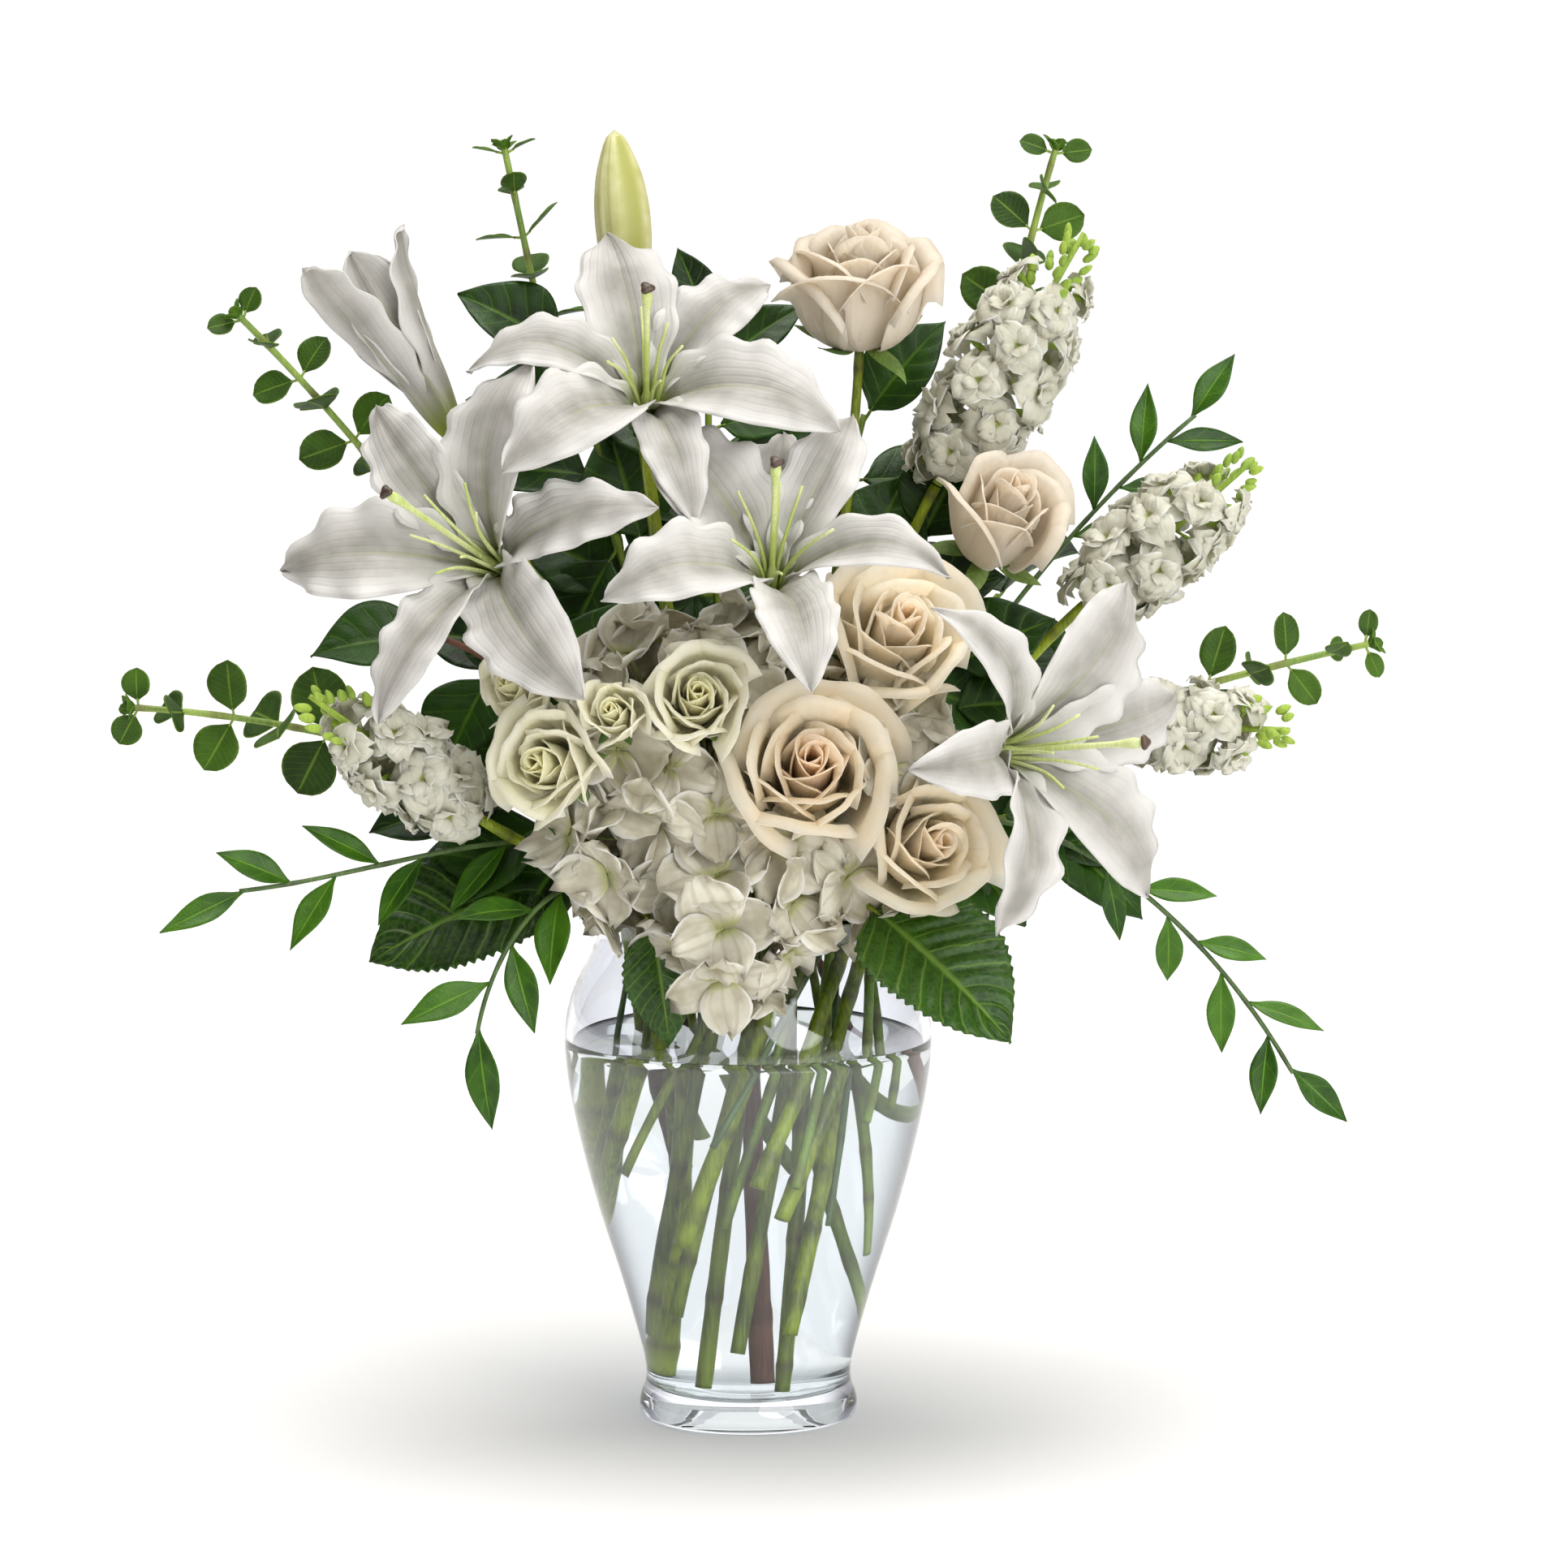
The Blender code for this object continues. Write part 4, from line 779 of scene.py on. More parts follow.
def rose_head(width, petals, opened, roll, seed, blush, ruffled):
    """All the petals of a rose in its own frame. blush is how coloured its heart is."""
    luck = random.Random(seed)
    bm = bmesh.new()
    clock = luck.uniform(0, 360)
    for k in range(petals):
        layer = k / (petals - 1)
        clock += SPIRAL + luck.uniform(-8, 8)
        rose_petal(bm, width, clock, layer, opened, roll, luck, blush, ruffled)
    return bm


# Rose petals are velvety: warm cream, a little peach in the heart and at their feet, and a paler rim.
rose_cream = petal_finish(
    "rose petal, velvety", "#FFFBF1", "#FFF8E9", "#FFF3E2", 0.30, "#FFFDF8", heart="#FFF1DE", veins=7.0,
    vein_depth=0.12, glow=0.70,
)
# The two roses at the back are pinker, and painted duller and darker than the cream, with less glow, as painted shade.
rose_pinker_painted_shade = petal_finish(
    "rose petal, velvety, pinker, painted shade", "#F7F0E3", "#F2E9DA", "#F6E6D0", 0.30, "#FAF5EC", heart="#F6E5CE", veins=7.0,
    vein_depth=0.12, glow=0.50,
)
sepal_green = stem_finish("rose sepal, leathery", "#7C9446", "#4C6A2C", "#5C4A2E", 0.50)


def sepal_cup(bm, width, luck):
    """The hip under a rose and its five sepals, of which some hang and some hold the bloom."""
    r = 0.105 * width
    hip = [(0, 0, z) for z in (-0.0005, 0.02 * width, 0.06 * width, 0.10 * width)]
    stalk(bm, hip, [0.5 * r, r, 1.15 * r, 0.8 * r], 12)
    for k in range(5):
        clock = 72 * k + luck.uniform(-8, 8)
        sag = luck.uniform(-0.30, 0.25) * width
        length = 0.42 * width
        a, b = Vector((0.9 * r, 0.05 * width)), Vector((0.22 * width, 0.02 * width))
        c, d = Vector((0.40 * width, 0.05 * width + 0.4 * sag)), Vector((0.25 * width + 0.5 * length, sag))

        def shape(s, t, clock=clock, a=a, b=b, c=c, d=d):
            (radius, z), _ = bezier(a, b, c, d, t)
            half = 0.075 * width * math.sin(math.pi * (0.25 + 0.75 * t)) ** 1.2
            radial = on_clock(clock)
            side = Vector((radial.y, -radial.x, 0))
            return radial * radius + side * (s * half) + Vector((0, 0, z - 0.3 * half * s * s))

        grow_sheet(bm, 4, 10, shape, 0.0)


def rose(name, face, petals, opened, roll, seeds, blush, ruffled, material):
    """A bloom and the sepals under it, where its face says."""
    place = flower_frame(*flower_base(face, ROSE_BACK * face[3]))
    bm = rose_head(face[3], petals, opened, roll, seeds[0], blush, ruffled)
    finished(name + "_petals", bm, material, name, ROSE_THICK, place)
    bm = bmesh.new()
    sepal_cup(bm, face[3], random.Random(seeds[1]))
    finished(name + "_sepals", bm, sepal_green, name, place=place)


# These two roses take the darker copy of the cream petals, as painted shade.
PAINTED_SHADE_ROSES = ("rose_top", "rose_right")
for number, (name, (petals, opened, roll, blush)) in enumerate(ROSE_AGES.items()):
    material, seeds = rose_pinker_painted_shade if name in PAINTED_SHADE_ROSES else rose_cream, (40 + number, 60 + number)
    rose(name, ROSE_FACES[name], petals, opened, roll, seeds, blush, 1.0, material)

# -------------------------------- the spray roses
# One spray of four small greenish-white roses, each a flat rosette of short petals round a
# yellow-green heart.

SPRAY_AGES = {
    "spray_rose_1": (26, 0.92, 0.7), "spray_rose_2": (20, 0.82, 0.5), "spray_rose_3": (26, 0.92, 0.7),
    "spray_rose_4": (20, 0.86, 0.6),
}

# Spray rose petals are matt and greenish white, with a pale lime heart.
spray_white = petal_finish(
    "spray rose petal, matt", "#FFFDF2", "#FCFAE8", "#FAF7D8", 0.28, "#FFFEF7", heart="#FAF7D4", veins=5.0,
    vein_depth=0.12, glow=0.55,
)

for number, (name, (petals, opened, roll)) in enumerate(SPRAY_AGES.items()):
    seeds = (80 + number, 90 + number)
    rose(name, SPRAY_FACES[name], petals, opened, roll, seeds, 1.0, 1.6, spray_white)

# -------------------------------- the hydrangea
# One white mophead in the middle of the bouquet: four-sepalled florets, some 45 mm across, side by side on thin
# stalks. The lowest hang in front of the vase's neck.

# The balls that its florets lie round, as (centre, radius).
MOPHEAD = (
    ((-0.015, -0.055, 0.285), 0.054), ((-0.040, -0.062, 0.316), 0.040), ((0.020, -0.060, 0.270), 0.046),
    ((-0.045, -0.064, 0.266), 0.038), ((-0.004, -0.084, 0.240), 0.034), ((-0.002, -0.056, 0.328), 0.036),
    ((0.050, -0.066, 0.302), 0.034), ((-0.010, -0.090, 0.222), 0.024),
)
FLORET_GAP, FLORET_REACH = 0.0195, 0.0245
# A second layer of florets lies this far under the first. Each is this angle, in radians, round from the last.
LAYER_DEPTH, FLORET_TURN = 0.015, 2.39996
# The room that the vase's neck and lip take.
LIP_REACH, LIP_TOP = 0.071, 0.233


def in_flower(point, room):
    """True if the point lies inside a rose, or in the vase's neck."""
    for table in (ROSE_FACES, SPRAY_FACES):
        for centre, azimuth, elevation, width in table.values():
            middle = Vector(centre) - facing(azimuth, elevation) * (0.30 * width)
            if (point - middle).length < 0.47 * width + room:
                return True
    return math.hypot(point.x, point.y) < LIP_REACH + room and point.z < LIP_TOP + room


def floret(bm, centre, out, reach, luck, chance):
    """A hydrangea floret: four broad sepals that overlap at its middle."""
    place = flower_frame(centre, out)
    turn = luck.uniform(0, 90)
    for k in range(4):
        length = reach * luck.uniform(0.88, 1.12)
        broad = length * luck.uniform(0.98, 1.16)
        tilt, ripple, phase = luck.uniform(-0.15, 0.60), luck.uniform(0.5, 1.6), luck.uniform(0, 6.28)
        clock = turn + 90 * k + luck.uniform(-7, 7)
        radial = on_clock(clock)
        side = Vector((radial.y, -radial.x, 0))
        raised = 0.0006 * (k % 2)

        def shape(s, t):
            half = broad / 2 * (math.sin(math.pi * (0.10 + 0.80 * t)) ** 0.7)
            uneven = math.sin(9 * s + 3 * phase)
            along_it = length * (t - 0.10 * s * s * t + 0.045 * uneven * t**3)
            lift = math.sin(tilt) * along_it + 0.0024 * ripple * math.sin(4 * s + 5 * t + phase) * t
            lift += 0.0016 * ripple * uneven * t**2
            lift += 0.16 * half * s * s - 0.0009 * math.exp(-((s / 0.2) ** 2)) * t * (1 - t) * 3
            flat = radial * (0.0008 + along_it * math.cos(tilt)) + side * (s * half)
            return place @ (flat + Vector((0, 0, raised + lift)))

        grow_sheet(bm, 6, 6, shape, chance, closed=False)


def stray(luck, most):
    """A small push any way."""
    return Vector([luck.uniform(-most, most) for _ in range(3)])


# Hydrangea sepals are papery: ivory white with grey-tan patches and veins, yellow-green at the eye.
hydrangea_ivory = petal_finish(
    "hydrangea sepal, papery", "#F4F1E2", "#CDC6AF", "#D0D29A", 0.24, "#FDFCF8",
    veins=4.0, vein_depth=0.45, glow=0.34,
)
pedicel_green = stem_finish("hydrangea stalk, smooth", "#C3C98E", "#98A65C", "#8A9450", 0.50)

luck = random.Random(7)
spots = []
for layer, (centre, radius) in [(inner, ball) for inner in (0, 1) for ball in MOPHEAD]:
    shrink = LAYER_DEPTH * layer
    middle = Vector(centre)
    count = int(4 * math.pi * radius**2 / FLORET_GAP**2 * 1.5)
    for i in range(count):
        z = 1 - 2 * (i + 0.5) / count
        a = FLORET_TURN * i + 0.7
        out = Vector((math.sqrt(1 - z * z) * math.cos(a), math.sqrt(1 - z * z) * math.sin(a), z))
        point = middle + out * (radius - 0.004 - shrink)
        buried = any((point - Vector(c)).length < r - 0.0055 - shrink for c, r in MOPHEAD if c != centre)
        crowded = any((point - other).length < FLORET_GAP * (1 + 0.25 * layer) for other, _, _ in spots)
        if not buried and not crowded and not in_flower(point, 0.002):
            spots.append((point, out, layer))

heads, stalks = bmesh.new(), bmesh.new()
core = Vector((-0.008, -0.050, 0.262))
for point, out, layer in spots:
    lean = (out + 0.25 * (point - core).normalized() + stray(luck, 0.22)).normalized()
    floret(heads, point, lean, FLORET_REACH * luck.uniform(0.86, 1.06) * (1 - 0.1 * layer), luck, luck.random())
    if layer == 0:
        course = [core.lerp(point, 0.35), core.lerp(point, 0.7), point - lean * 0.004, point]
        stalk(stalks, smooth_line(course, 6), [0.0009] * 5 + [0.0014], 5)
finished("hydrangea_florets", heads, hydrangea_ivory, "hydrangea", 0.0004)
finished("hydrangea_pedicels", stalks, pedicel_green, "hydrangea")

# -------------------------------- the stock
# Four spikes of double white stock. Ruffled florets some 25 mm across crowd round the stalk from the
# bottom up, and closed lime-green buds crown it.

# One floret stands this far above the last.
STOCK_STEP = 0.0046
# Florets open up to this share of a spike's height, and buds stand above the second one.
OPEN_TO, BUDS_FROM = 0.84, 0.70


def stock_floret(bm, place, reach, luck, chance):
    """A double stock floret: an outer ring of broad crumpled petals and a smaller one inside it."""
    for count, size, tilt in ((4, 1.0, 0.10), (4, 0.80, 0.55), (3, 0.55, 1.05)):
        start = luck.uniform(0, 360)
        for k in range(count):
            length = reach * size * luck.uniform(0.85, 1.1)
            broad = length * luck.uniform(1.05, 1.30)
            lean, phase = tilt + luck.uniform(-0.25, 0.35), luck.uniform(0, 6.28)
            radial = on_clock(start + 360 / count * k + luck.uniform(-8, 8))
            side = Vector((radial.y, -radial.x, 0))

            def shape(s, t):
                half = broad / 2 * math.sin(math.pi * (0.08 + 0.80 * t)) ** 0.8
                notch = 0.12 * math.exp(-((s / 0.25) ** 2)) * t**3
                along_it = length * (t - 0.12 * s * s * t - notch)
                crumple = 0.26 * math.sin(4.5 * s + phase) * t * t + 0.14 * math.sin(4 * t + 2 * phase) * t
                bent = lean - 0.5 * t * t
                return place @ (
                    radial * (0.0006 + along_it * math.cos(bent)) + side * (s * half)
                    + Vector((0, 0, along_it * math.sin(bent) + 0.6 * length * crumple))
                )

            grow_sheet(bm, 4, 4, shape, chance, closed=False)


def bead(bm, place, length, width):
    """A closed bud: an egg that stands on the place."""
    made = bmesh.ops.create_icosphere(bm, subdivisions=2, radius=1.0)["verts"]
    growth = growth_of(bm)
    for vert in made:
        t = (vert.co.z + 1) / 2
        vert[growth] = (vert.co.x, t, 0.0)
        half = width / 2 * (1.1 - 0.35 * t)
        vert.co = place @ Vector((vert.co.x * half, vert.co.y * half, t * length))


# Stock petals are thin and crisp: a cool clean white with a little green at their feet.
stock_white = petal_finish(
    "stock petal, crisp", "#F1F0E3", "#DFDDCA", "#DDE0A4", 0.26, "#FEFEFD",
    veins=4.0, vein_depth=0.12, glow=0.40,
)
stock_bud_green = stem_finish("stock bud, downy", "#A9C24A", "#7E9C38", "#6C8430", 0.60)

for number, (name, (base, tip, width)) in enumerate(STOCK_SPIKES.items()):
    base, tip = Vector(base), Vector(tip)
    length, axis = (tip - base).length, (tip - base).normalized()
    own = flower_frame(base, axis)
    luck = random.Random(120 + number)
    petals, greens = bmesh.new(), bmesh.new()
    middle = smooth_line([own @ Vector((0, 0, length * k / 3)) for k in range(4)], 12)
    stalk(greens, middle, np.linspace(0.0025, 0.0012, 12), 8)
    florets = int(length / STOCK_STEP)
    for k in range(florets):
        t = (k + 0.5) / florets
        clock = SPIRAL * k + luck.uniform(-12, 12)
        if t < OPEN_TO:
            size = mix(0.0165, 0.0100, t**2)
            off = width / 2 * math.sin(math.pi * (0.20 + 0.68 * t)) ** 0.7 - 0.007
            lean = mix(-0.10, 0.75, t) + luck.uniform(-0.2, 0.2)
            here = on_clock(clock, off, length * (0.05 + 0.90 * t))
            out = (on_clock(clock) * math.cos(lean) + Vector((0, 0, math.sin(lean)))).normalized()
            stock_floret(petals, own @ flower_frame(here, out), size, luck, luck.random())
            neck = on_clock(clock, 0.001, here.z - 0.006)
            course = smooth_line([own @ neck, own @ neck.lerp(here, 0.6), own @ here], 5)
            stalk(greens, course, [0.0007, 0.0008, 0.0012, 0.0019, 0.0016], 6)
        for extra in range(3 if t > BUDS_FROM else 0):
            spin = clock + 120 * extra
            off = mix(0.011, 0.004, (t - BUDS_FROM) / (1 - BUDS_FROM)) * luck.uniform(0.8, 1.3)
            out = (on_clock(spin) * 0.8 + Vector((0, 0, mix(0.5, 1.6, t)))).normalized()
            here = on_clock(spin, off, length * min(0.95, t + luck.uniform(-0.03, 0.01)))
            bead(greens, own @ flower_frame(here, out), luck.uniform(0.0055, 0.0085), luck.uniform(0.0036, 0.0050))
    finished(name + "_florets", petals, stock_white, name, 0.0003)
    finished(name + "_buds", greens, stock_bud_green, name)

# -------------------------------- the eucalyptus
# Five sprigs of silver-dollar eucalyptus: round leaves in opposite pairs, each pair turned a quarter
# from the last, on lime-green twigs that end in a tuft of baby leaves.

LEAF_THICK = 0.0005
# name: (tip, direction of the tip as (clock, forward), pairs, length and width of a leaf, gap between pairs)
EUCALYPTUS = {
    "eucalyptus_top_left": ((-0.109, 0.042, 0.566), (-12, 0), 5, 0.019, 0.015, 0.019),
    "eucalyptus_upper_left": ((-0.224, -0.005, 0.492), (-45, 5), 6, 0.020, 0.017, 0.018),
    "eucalyptus_left": ((-0.270, -0.030, 0.321), (-86, 10), 5, 0.024, 0.022, 0.021),
    "eucalyptus_top_right": ((0.138, 0.050, 0.566), (16, 10), 5, 0.022, 0.018, 0.018),
    "eucalyptus_right": ((0.278, 0.010, 0.346), (76, 14), 5, 0.021, 0.014, 0.018),
}
round_outline = outline_of((0, 0.05), (0.08, 0.30), (0.25, 0.82), (0.50, 1.0), (0.75, 0.84), (0.92, 0.46), (1, 0.0))


def leaf(bm, root, direction, upper, length, width, outline, droop, fold, wavy, puckers, chance, cells):
    """A leaf blade from its root along a direction, its upper side towards upper.

    droop bends its tip down, fold raises its two halves, and puckers raises the blade between its side veins.
    """
    direction = direction.normalized()
    upper = (upper - direction * upper.dot(direction)).normalized()
    side = direction.cross(upper)
    phase = 6.28 * chance

    def shape(s, t):
        bend = droop * t
        middle = root + direction * (length * (t - 0.15 * droop * t * t)) - upper * (length * 0.5 * droop * t * t)
        raised = upper * math.cos(bend) + direction * math.sin(bend)
        half = width / 2 * outline(t)
        rise = fold * half * abs(s) ** 1.3 + wavy * length * math.sin(9 * t + phase + (2.0 if s > 0 else 0)) * s * s
        if puckers:
            quilt = abs(math.sin(math.pi * (puckers * (t - 0.22 * abs(s))))) * (1 - s * s) ** 0.3
            rise += 0.032 * width * quilt * min(1.0, abs(s) * 4) * math.sin(math.pi * t) ** 0.5
            half *= 1 + 0.035 * math.sin(2 * math.pi * puckers * 2 * t) * abs(s) ** 6
        return middle + side * (s * half) + raised * rise

    grow_sheet(bm, *cells, shape, chance)


def leaf_finish(name, upper, deep, vein, rim, roughness, ribs, rib_depth, coat=0.0, net=0.0):
    """A leaf: two greens in soft patches, a pale midrib, ribs side veins that slant to the tip, and a thin rim."""
    material, add, place, across, up, chance = live_finish(name)
    aside = add("Math", SIZE_OF, {0: across})
    # Patches some 12 mm wide, and a different mix for each leaf.
    patches = add("TexNoise", inputs={"Vector": place, "Scale": 80.0, "Detail": 3.0})
    own = add("Math", TIMES_PLUS, {0: chance, 1: 0.5, 2: patches})
    patched = add("MapRange", inputs={0: own, 1: 0.45, 2: 1.05})
    green = add("Mix", COLOURS, {0: patched, 6: to_linear(upper), 7: to_linear(deep)})
    slant = add("Math", TIMES_PLUS, {0: aside, 1: -0.22, 2: up})
    wander = add("Math", TIMES_PLUS, {0: patches, 1: 0.04, 2: slant})
    wave = add("Math", {"operation": "SINE"}, {0: add("Math", TIMES, {0: wander, 1: ribs * math.pi})})
    side_veins = add("MapRange", SOFTLY, {0: add("Math", SIZE_OF, {0: wave}), 2: 0.28, 3: rib_depth, 4: 0.0})
    midrib = add("MapRange", SOFTLY, {0: aside, 2: 0.09, 3: 0.85, 4: 0.0})
    lines = add("Math", LARGER, {0: side_veins, 1: midrib})
    if net:
        # The smallest veins close into a net of 4 mm meshes.
        meshes = add("TexVoronoi", {"feature": "DISTANCE_TO_EDGE"}, {"Vector": place, "Scale": 240.0})
        threads = add("MapRange", SOFTLY, {0: meshes, 2: 0.22, 3: net, 4: 0.0})
        lines = add("Math", LARGER, {0: lines, 1: threads})
    veined = add("Mix", COLOURS, {0: lines, 6: green, 7: to_linear(vein)})
    edge = add("MapRange", inputs={0: aside, 1: 0.90, 4: 0.5})
    colour = add("Mix", COLOURS, {0: edge, 6: veined, 7: to_linear(rim)})
    fine = add("TexNoise", inputs={"Vector": place, "Scale": 1200.0, "Detail": 2.0})
    height = add("Math", TIMES_PLUS, {0: lines, 1: -1.0, 2: fine})
    relief = add("Bump", inputs={"Height": height, "Strength": 0.45, "Distance": 0.0006})
    gloss = add("MapRange", inputs={0: patches, 1: 0.3, 2: 0.7, 3: roughness, 4: roughness + 0.12})
    thin_sheet(add, colour, gloss, relief, 0.10, 0.28, **{"Coat Weight": coat, "Coat Roughness": 0.25})
    return material


def sprig(name, number, tip, toward, bow, radius, node_gap, sides=BRANCH_SIDES):
    """A sprig's stem up to its tip: the line it follows, a bmesh for its leaves and the bmesh of the stem itself."""
    line = stem_line(name, Vector(tip), from_front(*toward), bow)
    wood = bmesh.new()
    grown_stem(wood, line, radius, node_gap, number, sides)
    return line, bmesh.new(), wood


# Eucalyptus leaves are leathery with a matt wax bloom, dark grey-green with a paler midrib and rim.
eucalyptus_green = leaf_finish("eucalyptus leaf, waxy bloom", "#486E16", "#26420A", "#7A9A34", "#789A2E", 0.50, 9, 0.25)
twig_green = stem_finish("eucalyptus twig, smooth", "#9DB54E", "#6F8E3A", "#6A5A34", 0.45)

for number, (name, (tip, toward, pairs, length, width, gap)) in enumerate(EUCALYPTUS.items()):
    luck = random.Random(160 + number)
    line, leaves, twigs = sprig(name, number, tip, toward, 0.0008, 0.0022, gap * 1.6)
    for k in range(pairs):
        at, onward = along(line, 0.004 + gap * k)
        side = onward.cross(Vector((0, 1, 0))).normalized()
        grown = 0.55 + 0.45 * min(1.0, k / 3)
        for sign in (-1, 1):
            out = (onward.cross(side) if k % 2 else side) * sign
            direction = (out + onward * luck.uniform(0.25, 0.55) + stray(luck, 0.15)).normalized()
            # The top left sprig is seen edge-on, and the others lift their leaves to the front.
            upper = onward
            if name != "eucalyptus_top_left":
                upper = onward * 0.35 + Vector((luck.uniform(-0.4, 0.4), -0.9, luck.uniform(-0.2, 0.5)))
            root = at + direction * 0.0035
            stalk(twigs, [at, at.lerp(root, 0.5), root + direction * 0.001], [0.0008, 0.0006, 0.0006], 6)
            leaf(leaves, root, direction, upper, 1.12 * length * grown, 1.15 * width * grown, round_outline,
                 luck.uniform(-0.1, 0.3), 0.18, 0.015, 0, luck.random(), (8, 10))
    # The tuft of baby leaves at the tip.
    at, onward = along(line, 0.0)
    for k in range(6):
        turn = Matrix.Rotation(k * 1.05, 3, onward)
        direction = (onward * mix(0.6, 1.6, k / 5) + turn @ onward.orthogonal().normalized()).normalized()
        leaf(leaves, at - onward * 0.003, direction, onward, luck.uniform(0.007, 0.010), 0.0055, round_outline,
             0.2, 0.3, 0.0, 0, 0.0, (4, 6))
    finished(name + "_leaves", leaves, eucalyptus_green, name, LEAF_THICK)
    finished(name + "_twig", twigs, twig_green, name)

# -------------------------------- the ruscus
# Four trailing sprigs of Italian ruscus: glossy lance-shaped leaves that stand singly on alternate sides
# of a wiry dark stem, one at its tip.

# name: (tip, direction of the tip, number of leaves, their length and width, gap between leaves)
RUSCUS = {
    "ruscus_left": ((-0.218, -0.075, 0.246), (-95, 10), 7, 0.038, 0.012, 0.020),
    "ruscus_low_left": ((-0.114, -0.112, 0.190), (190, 5), 6, 0.042, 0.014, 0.020),
    "ruscus_low_right": ((0.236, -0.070, 0.166), (150, 5), 9, 0.034, 0.011, 0.017),
    "ruscus_upper_right": ((0.200, 0.036, 0.446), (50, 0), 7, 0.034, 0.012, 0.015),
}
lance_outline = outline_of(
    (0, 0.06), (0.10, 0.26), (0.25, 0.72), (0.42, 1.0), (0.62, 0.88), (0.82, 0.44), (0.94, 0.14), (1, 0.0)
)

# Ruscus leaves are hard and glossy, with fine lengthways veins; its stem is wiry and dark green.
ruscus_green = leaf_finish("ruscus leaf, glossy", "#4A7A12", "#244A08", "#72A028", "#406C10", 0.32, 3, 0.15, coat=0.10)
ruscus_wire = stem_finish("ruscus stem, wiry", "#5E7A3E", "#3C5528", "#33401F", 0.45)

for number, (name, (tip, toward, count, length, width, gap)) in enumerate(RUSCUS.items()):
    luck = random.Random(200 + number)
    line, leaves, wires = sprig(name, number, tip, toward, 0.0006, 0.0015, gap * 2)
    for k in range(count):
        at, onward = along(line, 0.003 + gap * k)
        side = onward.cross(Vector((0, -1, 0))).normalized() * (1 if k % 2 else -1)
        nod = Vector((0, luck.uniform(-0.35, 0.2), luck.uniform(-0.15, 0.15)))
        direction = (onward * (1.0 if k else 3.0) + side * 0.9 + nod).normalized()
        upper = Vector((luck.uniform(-0.3, 0.3), -0.8, 0.6 + luck.uniform(-0.3, 0.3)))
        leaf(leaves, at + direction * 0.001, direction, upper, length * luck.uniform(0.92, 1.1),
             width * luck.uniform(0.95, 1.15), lance_outline, luck.uniform(0.1, 0.5), 0.30, 0.012, 0, luck.random(),
             (8, 16))
    finished(name + "_leaves", leaves, ruscus_green, name, LEAF_THICK)
    finished(name + "_wire", wires, ruscus_wire, name)

# -------------------------------- the salal
# Sprigs of salal fill the gaps between the flowers and make the bouquet's back: broad, leathery dark
# green leaves on short stalks along a zigzag woody stem.

# name: (tip, direction of the tip, leaves as (distance back from the tip, clock, forward, length, width))
SALAL = {
    "salal_top_left": ((-0.080, 0.020, 0.476), (-20, 0),
        ((0.004, -55, 10, 0.058, 0.036), (0.030, -80, -10, 0.058, 0.038), (0.050, 20, -20, 0.050, 0.034))),
    "salal_top": ((-0.016, 0.030, 0.486), (5, 0),
        ((0.004, -20, 0, 0.042, 0.022), (0.022, 48, 0, 0.056, 0.024), (0.046, 75, 10, 0.050, 0.034))),
    "salal_upper_right": ((0.052, 0.044, 0.446), (15, 0),
        ((0.004, 34, 12, 0.060, 0.034), (0.030, 88, -10, 0.056, 0.036), (0.056, -60, -15, 0.052, 0.036))),
    "salal_left": ((-0.136, -0.030, 0.352), (-75, 5),
        ((0.004, -88, 10, 0.060, 0.040), (0.030, -150, 15, 0.056, 0.040), (0.050, -20, 0, 0.056, 0.040))),
    "salal_right": ((0.128, -0.024, 0.268), (110, 0),
        ((0.004, 122, 10, 0.066, 0.042), (0.024, 80, -5, 0.060, 0.034), (0.044, 165, -12, 0.052, 0.034))),
    "salal_back_left": ((-0.100, 0.110, 0.372), (-45, -45),
        ((0.004, -40, -50, 0.064, 0.042), (0.030, -110, -40, 0.062, 0.042), (0.056, 20, -60, 0.060, 0.040),
         (0.084, -90, -50, 0.058, 0.040))),
    "salal_back": ((0.005, 0.120, 0.408), (0, -50),
        ((0.004, 5, -50, 0.064, 0.042), (0.032, 90, -45, 0.062, 0.042), (0.058, -90, -45, 0.062, 0.040),
         (0.088, 80, -60, 0.058, 0.040))),
    "salal_back_right": ((0.115, 0.105, 0.360), (45, -45),
        ((0.004, 50, -45, 0.064, 0.042), (0.030, 120, -40, 0.062, 0.042), (0.056, -20, -60, 0.060, 0.040),
         (0.084, 100, -50, 0.058, 0.040))),
}
